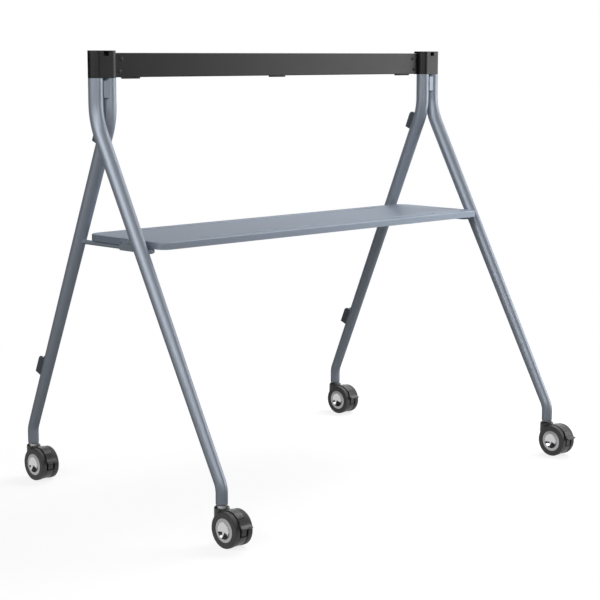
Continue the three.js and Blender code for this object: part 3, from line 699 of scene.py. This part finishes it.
def shelf_shape(edge):
    """A folded tray, hollow underneath, with two pressed grooves."""
    bottom = SHELF_TOP_Z - SHELF_DEPTH
    hem = 0.35
    folded = [(edge - r, z) for r, z in arc((0, SHELF_TOP_Z - edge), edge, 0, 90, 6)]
    rings = [shelf_ring(hem, bottom), shelf_ring(0, bottom + hem)]
    rings += [shelf_ring(inset, z) for inset, z in folded]
    hollow = [shelf_ring(SHELF_SHEET - hem, z) for z in (bottom - 5, bottom)]
    hollow.append(shelf_ring(SHELF_SHEET, bottom + hem))
    hollow += [shelf_ring(SHELF_SHEET + inset, z - SHELF_SHEET) for inset, z in folded]
    grooves, troughs = [], []
    floor = SHELF_TOP_Z - GROOVE_DEPTH
    foot_radius, lip_radius = 1.4, 1.5
    foot = arc((-foot_radius, floor + foot_radius), foot_radius, -90, 0, 5)
    lip = arc((lip_radius, SHELF_TOP_Z - lip_radius), lip_radius, 180, 90, 5)
    for y in GROOVES_Y:
        rings_up = [groove_ring(y, grow, z) for grow, z in [*foot, *lip, (lip_radius, SHELF_TOP_Z + 3)]]
        grooves.append(lofted(rings_up))
        below = [(0.7, floor - SHELF_SHEET), (lip_radius, SHELF_TOP_Z - SHELF_SHEET + 0.7)]
        troughs.append(lofted([groove_ring(y, grow, z) for grow, z in below]))
    ends = [side * SHELF_HALF_WIDTH for side in SIDES.values()]
    holes = [hole for x in ends for hole in shelf_screw_holes(x)]
    return lofted(rings).less(lofted(hollow)).joined(*troughs).less(*grooves, *holes)


def y_on_leg(end, z):
    return FOOT_Y[end] * (UPPER_BEND_Z - z) / (UPPER_BEND_Z - LOWER_BEND_Z)


def rod_shape(side):
    front, rear = y_on_leg("front", ROD_Z), y_on_leg("rear", ROD_Z)
    outwards = PAIR_SPACING / 2 + TUBE_SPACING / 2 - ROD_X
    path = Path([(rear, 0), (front, 0), (front, outwards)], [ROD_BEND_RADIUS], 9)
    outline = [(ROD_RADIUS, d) for d in path.stations()]
    rod = path.bent(turned([(0, 0), *outline, (0, path.length)], 28))
    rod = rod.turned(-math.pi / 2, "Y").moved(-ROD_X, 0, ROD_Z)
    legs = [leg_space(end, 0.1).moved(leg_x(end, -1)) for end in FOOT_Y]
    return rod.less(*legs).facing(side)


def bracket_shape(side):
    outside = -SHELF_HALF_WIDTH - GAP
    top = SHELF_TOP_Z - 2.4
    seat = ROD_Z - ROD_RADIUS - 0.1
    sheet, bend, foot = 1.4, 0.8, 20
    rear, front = -55, -117
    section = [
        (outside, top),
        (outside - sheet, top),
        *arc((outside + bend, seat + bend), bend + sheet, 180, 270, 6),
        (outside + foot, seat - sheet),
        (outside + foot, seat),
        *arc((outside + bend, seat + bend), bend, 270, 180, 4),
    ]
    folded = prism(section, -rear, -front).laid()
    view = rounded_rectangle(front, seat - 9, rear, top, 0.5, 3.5, steps=5)
    trimmed = folded.within(slab(view, 40).moved(outside + 10))
    return trimmed.rounded(0.35, 2, 55).less(*shelf_screw_holes(outside)).facing(side)


def clip_shape(distance, side):
    """An open channel on the rear of a rear leg, its upper end well rounded."""
    path = leg_path("rear")
    half_length = CLIP_LENGTH / 2
    low, _ = path.at(distance - half_length)
    high, _ = path.at(distance + half_length)
    radius = leg_radius(path, distance)
    half, wall, corner, slit = CLIP_WIDTH / 2, 3, 2.6, 4
    skirt, floor, back = radius - 9, radius + 2.5, CLIP_REACH
    crown_reach, crown_height = 13, 20
    crown = (back - crown_reach, half_length - crown_height)
    channel = [
        (-half, skirt),
        (half, skirt),
        *arc((half - corner, back - corner), corner, 0, 90, 5),
        (slit, back),
        (slit, back - wall),
        (half - wall, back - wall),
        (half - wall, floor),
        (-half + wall, floor),
        (-half + wall, back - wall),
        (-slit, back - wall),
        (-slit, back),
        *arc((-half + corner, back - corner), corner, 90, 180, 5),
    ]
    view = [
        (skirt - 1, -half_length),
        *arc((back - 1.5, -half_length + 1.5), 1.5, -90, 0, 4),
        *[(crown[0] + crown_reach * u, crown[1] + crown_height * v) for u, v in arc((0, 0), 1, 0, 90, 9)],
        (skirt - 1, half_length),
    ]
    body = prism(channel, -half_length, half_length).within(slab(view, half + 1))
    lean = math.atan2(low.x - high.x, high.y - low.y)
    body = body.rounded(0.7, 2).turned(lean, "X")
    body = body.moved(0, (low.x + high.x) / 2, (low.y + high.y) / 2)
    return body.less(leg_space("rear", 0.25)).moved(leg_x("rear", side))


# Casters are drawn about the axle, with the swivel axis TRAIL behind it


def sector(radius, inner, start, end, steps):
    return [*arc((0, 0), radius, start, end, steps), *arc((0, 0), inner, end, start, steps)]


def fork_shape(windowed):
    """The fork and its hood in one moulding; a window in the neck can show the collar."""
    top = FOOT_TO_AXLE - 1.5
    radius, rounding = 22, 4.2
    shoulder = arc((radius - rounding, FOOT_TO_AXLE - 9), rounding, 0, 62, 5)
    neck = [(0, -3), (19, -3), (radius, 2), *shoulder, (16.2, top), (0, top)]
    wells = [pin_along_x(53, WEB_HALF_WIDTH, 34, 72), pin_along_x(53, -34, -WEB_HALF_WIDTH, 72)]
    neck = turned(neck, 56).moved(0, TRAIL).less(*wells)
    hood = slab(sector(HOOD_RADIUS, 20, 28, 138, 60), HOOD_HALF_WIDTH)
    core = pin_along_x(43, -WEB_HALF_WIDTH, WEB_HALF_WIDTH, 72)
    web = slab([(10, 30), (0, -30), (30, -24), (56, 4), (60, 30), (24, 50)], WEB_HALF_WIDTH)
    apron = slab(sector(50.3, 20, 197, 248, 24), HOOD_HALF_WIDTH)
    body = neck.joined(hood, core, web, apron)
    collar_seat = pin(14.6, 0, 20, 48).moved(0, TRAIL, FOOT_TO_AXLE - 9.5)
    stem_bore = pin(6.3, 0, 40, 32).moved(0, TRAIL, FOOT_TO_AXLE - 35)
    axle_bore = pin_along_x(4.3, -20, 20, 32)
    pocket_half_width = 9.6
    pocket = slab(sector(62, 22, 137.9, 195.5, 24), pocket_half_width)
    heel = slab(sector(48.6, 22, 190, 208, 8), pocket_half_width)
    pin_bore = pin_along_x(3.3, -12.3, 12.3, 32).moved(0, *PEDAL_PIVOT)
    cuts = [collar_seat, stem_bore, axle_bore, pocket.joined(heel), pin_bore]
    if windowed:
        opening = [(-38.2, -18.8), (-17.4, -38.8), (10.4, -10), (-10.4, 10)]
        cuts.append(prism(opening, FOOT_TO_AXLE - 8, FOOT_TO_AXLE + 5).moved(0, TRAIL))
    return body.less(*cuts).moulded(0.9, 6)


def pedal_shape():
    clearance = [(171, 55), (166, 54.4), (160, 53.7), (154, 53.2), (149, 52.9), (144, 52.8), (139.2, 52.8)]
    plate = [(-41.4, 36.2), (-46.5, 29.4), (-50.5, 24), (-54.5, 20), (-60, 16.6), (-65.3, 14.6)]
    plate += [(-64.9, 12), (-60, 9), (-55, 7.5), *[polar(radius, angle) for angle, radius in clearance]]
    half = [(6, 7.3), (13.5, 8.8), (19.4, 11.8), (20.6, 14), (19.6, 17), (17.4, 21)]
    half += [(15.8, 26), (14.6, 32), (14, 40)]
    view = [*half, *[(-x, z) for x, z in reversed(half)]]
    skin = slab(plate, 24).within(prism(view, 20, 75).laid())
    arm_half_width = 9.3
    y, z = PEDAL_PIVOT
    arm = slab([(y + 2, z + 5.5), polar(53.8, 143), polar(53.8, 168), (y + 2, z - 6)], arm_half_width)
    hub = pin_along_x(6.5, -9, 9, 40).moved(0, y, z)
    trunnions = pin_along_x(3, -12, 12, 32).moved(0, y, z)
    skirt = slab(sector(50.2, 45.5, 160, 194, 12), arm_half_width)
    return skin.joined(arm, skirt, hub, trunnions).moulded(0.5, 4)


def collar_shape():
    outline = [(6.5, -9.2), (13.8, -9.2), (14.2, -8.8), (14.2, -1.7), (13.4, -0.9), (6.5, -0.9)]
    return turned(outline, 56).moved(0, 0, FOOT_Z)


def wheel_shapes(side):
    """The dark wheel, its bright ring and its hub cup, facing -X for the left wheel."""
    face, inner_face = 32, 15.2
    rounding = 3.2
    shoulder = arc((WHEEL_RADIUS - rounding, face - rounding), rounding, 0, 90, 6)
    body = [(0, 22.8), (4.3, 22.8), (4.3, inner_face), (WHEEL_RADIUS - 1.2, inner_face)]
    body += [(WHEEL_RADIUS - 0.5, 15.7), (WHEEL_RADIUS - 0.15, 17.5), (WHEEL_RADIUS, 22), *shoulder]
    body += [(35, face), (34.5, face - 0.5), (34.5, face - 2), (24.7, face - 2)]
    body += [(23.2, 27.5), (21, 25.4), (18.5, 24), (15, 23.3), (0, 23)]
    ring = [(24.8, 30.2), (34.3, 30.2), (34.3, 30.8), (34, 31), (25.1, 31.95), (24.8, 31.7)]
    cup_radius, cup_floor, cup_depth = 24, 24, 7.6
    bowl = [(r, cup_floor + cup_depth * (r / cup_radius) ** 2.2) for r in range(3, cup_radius + 1, 3)]
    under = [(r + 0.35, x - 0.45) for r, x in bowl]
    hub = [(0, cup_floor - 0.5), *under, (24.3, 31.75), *reversed(bowl), (0, cup_floor)]
    pieces = {"tread": turned(body, 96), "hub_ring": turned(ring, 96), "hub_cup": turned(hub, 96)}
    return {name: along_x(shape).facing(-side) for name, shape in pieces.items()}


# What a user may change


def size(name, description, default):
    """A length that is set in metres and drawn in millimetres."""
    kind = {"subtype": "DISTANCE", "unit": "LENGTH", "min": 0.0001}
    return bpy.props.FloatProperty(name=name, description=description, default=default * MM, **kind)


def hue(name, description, default):
    kind = {"subtype": "COLOR", "size": 3, "min": 0, "max": 1}
    return bpy.props.FloatVectorProperty(name=name, description=description, default=default, **kind)


def glow(name, description, default):
    """How bright a lamp or surface looks: white is at 1."""
    kind = {"subtype": "FACTOR", "min": 0}
    return bpy.props.FloatProperty(name=name, description=description, default=default, **kind)


class StandSizes(bpy.types.PropertyGroup):
    cap_edge: size("Cap edge", "Rounding of the top caps' edges", 1.2)
    shelf_edge: size("Shelf edge", "Bend radius of the shelf's fold", 2.6)


class StandColours(bpy.types.PropertyGroup):
    paint: hue("Frame paint", "Metallic powder coat of the tubes", (0.415, 0.462, 0.535))
    shelf: hue("Shelf paint", "Powder coat of the shelf", (0.37, 0.422, 0.501))
    black: hue("Black coat", "Powder coat of the crossbar and the caps", (0.006, 0.006, 0.006))
    screw: hue("Black screws", "Black oxide of the socket screws", (0.06, 0.06, 0.062))
    plastic: hue("Caster plastic", "Forks and brake pedals", (0.035, 0.035, 0.035))
    tread: hue("Wheel tread", "Dark bodies of the wheels", (0.05, 0.05, 0.05))
    ring: hue("Hub ring", "Bright flat rings of the wheels", (0.42, 0.42, 0.43))
    chrome: hue("Hub cup", "Chromed cups in the wheels", (0.62, 0.62, 0.63))
    zinc: hue("Zinc steel", "Collars, stems and axles", (0.85, 0.85, 0.86))
    clip: hue("Clip plastic", "Cable clips", (0.11, 0.13, 0.155))
    rubber: hue("Pad rubber", "Pads under the crossbar", (0.012, 0.012, 0.012))


class StandStudio(bpy.types.PropertyGroup):
    left_lamp: glow("Left lamp", "Brightness of the wide lamp high on the left", 3.0)
    front_lamp: glow("Front lamp", "Brightness of the lamp high in front", 2.0)
    rear_lamp: glow("Rear lamp", "Brightness of the wide lamp at the right rear", 1.3)
    low_lamp: glow("Low lamp", "Brightness of the low lamp at the right front", 2.3)
    top_lamp: glow("Top lamp", "Brightness of the lamp overhead on the right", 5.2)
    room: glow("Room light", "Brightness of the even light of the room", 0.05)
    eye: bpy.props.FloatVectorProperty(
        name="Camera place",
        description="Where the camera stands",
        default=(-3.6104, -3.6735, 1.3438),
        subtype="TRANSLATION",
        unit="LENGTH",
    )
    aim: bpy.props.FloatVectorProperty(
        name="Camera turn",
        description="How the camera is turned",
        default=(math.radians(90 - 8.661), 0, math.radians(-44.443)),
        subtype="EULER",
        unit="ROTATION",
    )
    lens: bpy.props.FloatProperty(
        name="Lens",
        description="Focal length in millimetres on a 36 mm sensor",
        default=96.08,
        min=1,
        unit="CAMERA",
    )


def chosen(group):
    return getattr(bpy.context.scene, "tv_stand_" + group)


# For each finish: how it is made, which colour it has, and its own values
FINISHES = {
    "frame_paint": (painted_tube, "paint"),
    "shelf_paint": (painted_sheet, "shelf"),
    "black_coat": (black_coat, "black"),
    "black_screw": (black_screw, "screw"),
    "caster_plastic": (moulded_plastic, "plastic", 0.36),
    "wheel_tread": (wheel_tread, "tread"),
    "hub_ring": (bright_metal, "ring", 0.32, 0.004, 0.9),
    "hub_chrome": (bright_metal, "chrome", 0.09, 0.001, 0.9),
    "zinc_steel": (bright_metal, "zinc", 0.3, 0.004, 0.25),
    "clip_plastic": (moulded_plastic, "clip", 0.45),
    "pad_rubber": (rubber_pad, "rubber"),
}


def finish_of(name):
    """The material of a finish, made when it is first asked for."""
    label = f"{name}_finish"
    if label not in bpy.data.materials:
        make, colour, *values = FINISHES[name]
        make(Finish(label), getattr(chosen("colours"), colour), *values)
    return bpy.data.materials[label]


# Edges that turn by more than this stay sharp in the shading
CREASE = math.radians(32)


def add_piece(name, shape, finish, body, nodes, at=(0, 0, 0)):
    """A piece in the stand's frame, riding on a body and standing for CAD nodes."""
    data = shape if isinstance(shape, bpy.types.Mesh) else shape.mesh(name, MM)
    data.shade_smooth()
    data.set_sharp_from_angle(angle=CREASE)
    data.materials.clear()
    data.materials.append(finish_of(finish))
    piece = add_object(name, data, Vector(at) * MM + Vector((0, SHIFT_Y * MM, 0)))
    weighted = piece.modifiers.new("even_shading", "WEIGHTED_NORMAL")
    weighted.keep_sharp = True
    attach(piece, body)
    if nodes:
        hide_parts(*nodes)


def add_fixed(name, shape, finish, node):
    """A piece that is fixed to the frame and stands for one CAD node."""
    add_piece(name, shape, finish, "frame", [node])


def dress_node(node, finish):
    """Gives a CAD node that stays in view its finish."""
    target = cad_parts[node].data
    target.materials.clear()
    target.materials.append(finish_of(finish))


def corners():
    """Each corner of the stand: its name, end, side and the middle of its caster's foot."""
    for side_name, side in SIDES.items():
        for end, foot in FOOT_Y.items():
            yield f"{end}_{side_name}", end, side, (leg_x(end, side), foot, 0)


# One operator for each piece or group of like pieces


class TVSTAND_OT_legs(bpy.types.Operator):
    """Make the four bent, tapered legs"""

    bl_idname = "tvstand.legs"
    bl_label = "Legs"

    def execute(self, context):
        for corner, end, side, _ in corners():
            shape = leg_shape(end).moved(leg_x(end, side))
            add_fixed(f"tube_{corner}", shape, "frame_paint", f"leg_{corner}")
        return {"FINISHED"}


class TVSTAND_OT_caps(bpy.types.Operator):
    """Make the two black caps on the leg tops"""

    bl_idname = "tvstand.caps"
    bl_label = "Top caps"

    def execute(self, context):
        for name, side in SIDES.items():
            shape = cap_shape(side, chosen("sizes").cap_edge / MM)
            add_fixed(f"cap_{name}", shape, "black_coat", f"top_cap_{name}")
        return {"FINISHED"}


class TVSTAND_OT_spacers(bpy.types.Operator):
    """Make the plates between the two tubes of each pair"""

    bl_idname = "tvstand.spacers"
    bl_label = "Spacer plates"

    def execute(self, context):
        for name, side in SIDES.items():
            add_fixed(f"spacer_{name}", spacer_shape(side), "frame_paint", f"leg_spacer_plate_{name}")
        return {"FINISHED"}


class TVSTAND_OT_crossbar(bpy.types.Operator):
    """Make the black crossbar and the three pads under it"""

    bl_idname = "tvstand.crossbar"
    bl_label = "Crossbar and pads"

    def execute(self, context):
        add_fixed("bar", crossbar_shape(), "black_coat", "crossbar")
        for name, x in PADS.items():
            add_fixed(f"pad_{name}", pad_shape(x), "pad_rubber", f"crossbar_pad_{name}")
        return {"FINISHED"}


class TVSTAND_OT_screws(bpy.types.Operator):
    """Make the socket screws of the crossbar and the shelf"""

    bl_idname = "tvstand.screws"
    bl_label = "Screws"

    def execute(self, context):
        bar_screw, shelf_screw = bar_screw_shape(), shelf_screw_shape()
        for name, side in SIDES.items():
            for height, (x, below) in BAR_SCREWS.items():
                end = f"{name}_{height}"
                shape = bar_screw.turned(math.radians(17 * side + below), "Y")
                shape = shape.moved(side * x, BAR_FRONT_Y, BAR_TOP_Z - below)
                add_fixed(f"bar_screw_{end}", shape, "black_screw", f"crossbar_screw_{end}")
            for place, y in SHELF_SCREWS.items():
                end = f"{name}_{place}"
                shape = shelf_screw.turned(math.radians(20 + y), "Y").turned(side * math.pi / 2, "Z")
                seat = side * (SHELF_HALF_WIDTH + BRACKET_OUTSIDE)
                shape = shape.moved(seat, y, SHELF_TOP_Z - SHELF_SCREW_BELOW_TOP)
                add_fixed(f"tray_screw_{end}", shape, "frame_paint", f"shelf_screw_{end}")
        return {"FINISHED"}


class TVSTAND_OT_shelf(bpy.types.Operator):
    """Make the tray shelf with its two grooves"""

    bl_idname = "tvstand.shelf"
    bl_label = "Shelf"

    def execute(self, context):
        add_fixed("tray", shelf_shape(chosen("sizes").shelf_edge / MM), "shelf_paint", "shelf")
        return {"FINISHED"}


class TVSTAND_OT_rods(bpy.types.Operator):
    """Make the rods and brackets that carry the shelf"""

    bl_idname = "tvstand.rods"
    bl_label = "Rods and brackets"

    def execute(self, context):
        for name, side in SIDES.items():
            add_fixed(f"rod_{name}", rod_shape(side), "frame_paint", f"shelf_rod_{name}")
            add_fixed(f"bracket_{name}", bracket_shape(side), "frame_paint", f"shelf_bracket_{name}")
        return {"FINISHED"}


class TVSTAND_OT_clips(bpy.types.Operator):
    """Make the four cable clips behind the rear legs"""

    bl_idname = "tvstand.clips"
    bl_label = "Cable clips"

    def execute(self, context):
        for name, side in SIDES.items():
            for height, distance in CLIPS.items():
                shape = clip_shape(distance, side)
                add_fixed(f"clip_{name}_{height}", shape, "clip_plastic", f"cable_clip_{name}_{height}")
        return {"FINISHED"}


def caster_mesh(name, shape):
    """A caster piece, drawn about the axle, as a mesh about the foot's middle."""
    return shape.moved(0, -TRAIL, WHEEL_RADIUS).mesh(name, MM)


class TVSTAND_OT_forks(bpy.types.Operator):
    """Make the caster forks with their hoods and collars, and finish the stems and axles"""

    bl_idname = "tvstand.forks"
    bl_label = "Caster forks"

    def execute(self, context):
        forks = {side: caster_mesh("fork", fork_shape(side < 0)) for side in SIDES.values()}
        for corner, _, side, foot in corners():
            caster = f"caster_{corner}"
            fork, collar = forks[side].copy(), collar_shape()
            add_piece(f"{caster}_hood", fork, "caster_plastic", caster, [f"{caster}_fork"], foot)
            add_piece(f"{caster}_ferrule", collar, "zinc_steel", caster, [f"{caster}_collar"], foot)
            dress_node(f"{caster}_stem", "zinc_steel")
            dress_node(f"{caster}_axle", "zinc_steel")
        for fork in forks.values():
            bpy.data.meshes.remove(fork)
        return {"FINISHED"}


class TVSTAND_OT_pedals(bpy.types.Operator):
    """Make the brake pedals"""

    bl_idname = "tvstand.pedals"
    bl_label = "Brake pedals"

    def execute(self, context):
        pedal = caster_mesh("pedal", pedal_shape())
        for corner, _, _, foot in corners():
            body = f"caster_{corner}_brake_pedal"
            add_piece(f"caster_{corner}_pedal", pedal.copy(), "caster_plastic", body, [body], foot)
        bpy.data.meshes.remove(pedal)
        return {"FINISHED"}


class TVSTAND_OT_wheels(bpy.types.Operator):
    """Make the twin wheels with their bright rings and hub cups"""

    bl_idname = "tvstand.wheels"
    bl_label = "Wheels"

    def execute(self, context):
        finishes = {"tread": "wheel_tread", "hub_ring": "hub_ring", "hub_cup": "hub_chrome"}
        for name, side in SIDES.items():
            for part, shape in wheel_shapes(side).items():
                made = caster_mesh(part, shape)
                for corner, _, _, foot in corners():
                    body = f"caster_{corner}_wheel_{name}"
                    nodes = [body] if part == "tread" else []
                    add_piece(f"{body}_{part}", made.copy(), finishes[part], body, nodes, foot)
                bpy.data.meshes.remove(made)
        return {"FINISHED"}


# The studio, in metres

LAMP_RING = 4.0
CEILING = 3.6
FLOOR_SIZE = 18
FLOOR_GREYS = (0.33, 0.37)
FLOOR_HAZE = 0.8
# Where the floor begins to fade to white and where it is white, in millimetres from the middle
FLOOR_FADE = (1300, 2600)
LOW_BOARD_HEIGHT = 0.1115
BLACK_FELT = 0.012
GREY_FELT = 0.22
SENSOR_WIDTH = 36


# A turn is counted in degrees from the front towards +X. A lamp shines along its own -Z,
# and a board, which faces its own +Z, is flipped by half a turn.
def on_ring(turn, height, flip=0):
    """A place on the ring round the stand, and the rotation that faces -Z to its middle."""
    angle = math.radians(turn)
    place = (LAMP_RING * math.sin(angle), -LAMP_RING * math.cos(angle), height)
    return place, (math.pi / 2 + flip, 0, angle)


# Each lamp's place, rotation and size
LAMPS = {
    "left_lamp": (*on_ring(-75, 2.7), (4.1, 1.85)),
    "front_lamp": (*on_ring(-30, 2.7), (2.1, 1.85)),
    "rear_lamp": (*on_ring(135, 2.4), (4.1, 2.4)),
    "low_lamp": (*on_ring(60, 1.25), (2.6, 2.2)),
    "top_lamp": ((2.67, 0, CEILING), (0, 0, 0), (2.6, 2.6)),
}
# Each board's felt, width, height, place and rotation
BOARDS = {
    "board_top": ("black", 8.0, 8.0, (0, 0, CEILING + 0.1), (math.pi, 0, 0)),
    "board_rear": ("black", 6.2, 3.5, *on_ring(-150, 1.8, math.pi)),
    "board_front": ("black", 6.2, 1.7, *on_ring(-60, 0.9, math.pi)),
    "board_right": ("black", 2.8, 3.4, *on_ring(22, 1.9, math.pi)),
    "board_low": ("grey", 7.0, 7.0, (0, 0, LOW_BOARD_HEIGHT), (0, 0, 0)),
}


class TVSTAND_OT_stage(bpy.types.Operator):
    """Make the floor, the lamps, the dark boards, the white background and the camera"""

    bl_idname = "tvstand.stage"
    bl_label = "Stage"

    def execute(self, context):
        studio = chosen("studio")
        scene = context.scene
        scene.view_settings.view_transform = "Standard"
        self.add_floor()
        for name, (place, turn, size) in LAMPS.items():
            self.add_lamp(name, getattr(studio, name), place, turn, size)
        self.add_boards()
        self.light_room(studio.room)
        scene.camera = add_object("camera", bpy.data.cameras.new("camera"), studio.eye, studio.aim)
        scene.camera.data.lens = studio.lens
        scene.camera.data.sensor_width = SENSOR_WIDTH
        return {"FINISHED"}

    @staticmethod
    def ray_kind(finish, kind):
        return Value(finish, finish.node("ShaderNodeLightPath").outputs[f"Is {kind} Ray"])

    def mirrored(self, finish):
        """1 for what gloss or glass shows of a surface, otherwise 0."""
        return self.ray_kind(finish, "Glossy").larger(self.ray_kind(finish, "Transmission"))

    @staticmethod
    def add_sheet(name, finish, width, height, place=(0, 0, 0), turn=(0, 0, 0)):
        """A flat stage piece, facing its own +Z."""
        x, y = width / 2, height / 2
        data = bpy.data.meshes.new(name)
        data.from_pydata([(-x, -y, 0), (x, -y, 0), (x, y, 0), (-x, y, 0)], [], [(0, 1, 2, 3)])
        data.materials.append(finish.material)
        sheet = add_object(name, data, place, turn)
        return sheet

    def add_floor(self):
        """A pale floor that keeps the stand's shadow and fades to white away from it."""
        finish = Finish("studio_floor")
        low, high = FLOOR_GREYS
        pale = finish.mixed(finish.noise(40, 3), [low] * 3, [high] * 3)
        matt = finish.node("ShaderNodeBsdfDiffuse", {}, {"Color": pale}).outputs[0]
        white, haze = [
            finish.node("ShaderNodeEmission", {}, {"Color": (1, 1, 1, 1), "Strength": strength}).outputs[0]
            for strength in (1, FLOOR_HAZE)
        ]
        lit = finish.node("ShaderNodeAddShader", {}, {0: matt, 1: haze}).outputs[0]
        camera = self.ray_kind(finish, "Camera")
        near = finish.node("ShaderNodeMixShader", {}, {0: camera, 1: matt, 2: lit}).outputs[0]
        x, y = finish.along("X"), finish.along("Y")
        away = ((x * x + y * y) ** 0.5).above(*FLOOR_FADE)
        share = self.mirrored(finish).larger(camera * away)
        whole = finish.node("ShaderNodeMixShader", {}, {0: share, 1: near, 2: white}).outputs[0]
        finish.node("ShaderNodeOutputMaterial", {}, {"Surface": whole})
        self.add_sheet("floor", finish, FLOOR_SIZE, FLOOR_SIZE)

    @staticmethod
    def board_finish(name, grey):
        """Felt on one side of a board; from behind it isn't there."""
        finish = Finish(name)
        felt = finish.mixed(finish.noise(30, 3), [grey * 0.9] * 3, [grey * 1.1] * 3)
        matt = finish.node("ShaderNodeBsdfDiffuse", {}, {"Color": felt}).outputs[0]
        clear = finish.node("ShaderNodeBsdfTransparent").outputs[0]
        behind = finish.node("ShaderNodeNewGeometry").outputs["Backfacing"]
        faced = finish.node("ShaderNodeMixShader", {}, {0: behind, 1: matt, 2: clear}).outputs[0]
        finish.node("ShaderNodeOutputMaterial", {}, {"Surface": faced})
        return finish

    def add_boards(self):
        """Dark and grey boards round the stand, which only show in its gloss."""
        felts = {
            "black": self.board_finish("studio_black_board", BLACK_FELT),
            "grey": self.board_finish("studio_grey_board", GREY_FELT),
        }
        for name, (felt, *layout) in BOARDS.items():
            board = self.add_sheet(name, felts[felt], *layout)
            board.visible_camera = False
            board.visible_diffuse = False
            board.visible_shadow = False

    @staticmethod
    def add_lamp(name, brightness, place, turn, size):
        data = bpy.data.lights.new(name, "AREA")
        data.shape = "RECTANGLE"
        data.size, data.size_y = size
        data.energy = brightness * math.pi * data.size * data.size_y
        add_object(name, data, place, turn).visible_camera = False

    def light_room(self, brightness):
        finish = Finish("studio_room", bpy.data.worlds)
        seen = self.ray_kind(finish, "Camera").larger(self.mirrored(finish))
        strength = brightness + seen * (1 - brightness)
        sky = finish.node("ShaderNodeBackground", {}, {"Color": (1, 1, 1, 1), "Strength": strength})
        finish.node("ShaderNodeOutputWorld", {}, {"Surface": sky.outputs[0]})
        bpy.context.scene.world = finish.material


OPERATORS = (
    TVSTAND_OT_stage,
    TVSTAND_OT_legs,
    TVSTAND_OT_caps,
    TVSTAND_OT_spacers,
    TVSTAND_OT_crossbar,
    TVSTAND_OT_screws,
    TVSTAND_OT_shelf,
    TVSTAND_OT_rods,
    TVSTAND_OT_clips,
    TVSTAND_OT_forks,
    TVSTAND_OT_pedals,
    TVSTAND_OT_wheels,
)
GROUPS = {"sizes": StandSizes, "colours": StandColours, "studio": StandStudio}


class TVSTAND_PT_panel(bpy.types.Panel):
    """The stand's pieces, sizes, colours and studio"""

    bl_idname = "TVSTAND_PT_panel"
    bl_label = "Mobile TV stand"
    bl_space_type = "VIEW_3D"
    bl_region_type = "UI"
    bl_category = "TV stand"

    def draw(self, context):
        layout = self.layout
        for group in GROUPS:
            box = layout.box()
            box.label(text=group.title())
            settings = chosen(group)
            for name in settings.__annotations__:
                box.prop(settings, name)
        for operator in OPERATORS:
            layout.operator(operator.bl_idname)


CLASSES = (*GROUPS.values(), *OPERATORS, TVSTAND_PT_panel)


def register():
    for made in CLASSES:
        bpy.utils.register_class(made)
    for name, group in GROUPS.items():
        setattr(bpy.types.Scene, "tv_stand_" + name, bpy.props.PointerProperty(type=group))


def unregister():
    for name in GROUPS:
        delattr(bpy.types.Scene, "tv_stand_" + name)
    for made in reversed(CLASSES):
        bpy.utils.unregister_class(made)


def main():
    register()
    for operator in OPERATORS:
        group, name = operator.bl_idname.split(".")
        getattr(getattr(bpy.ops, group), name)()


if __name__ == "__main__":
    main()
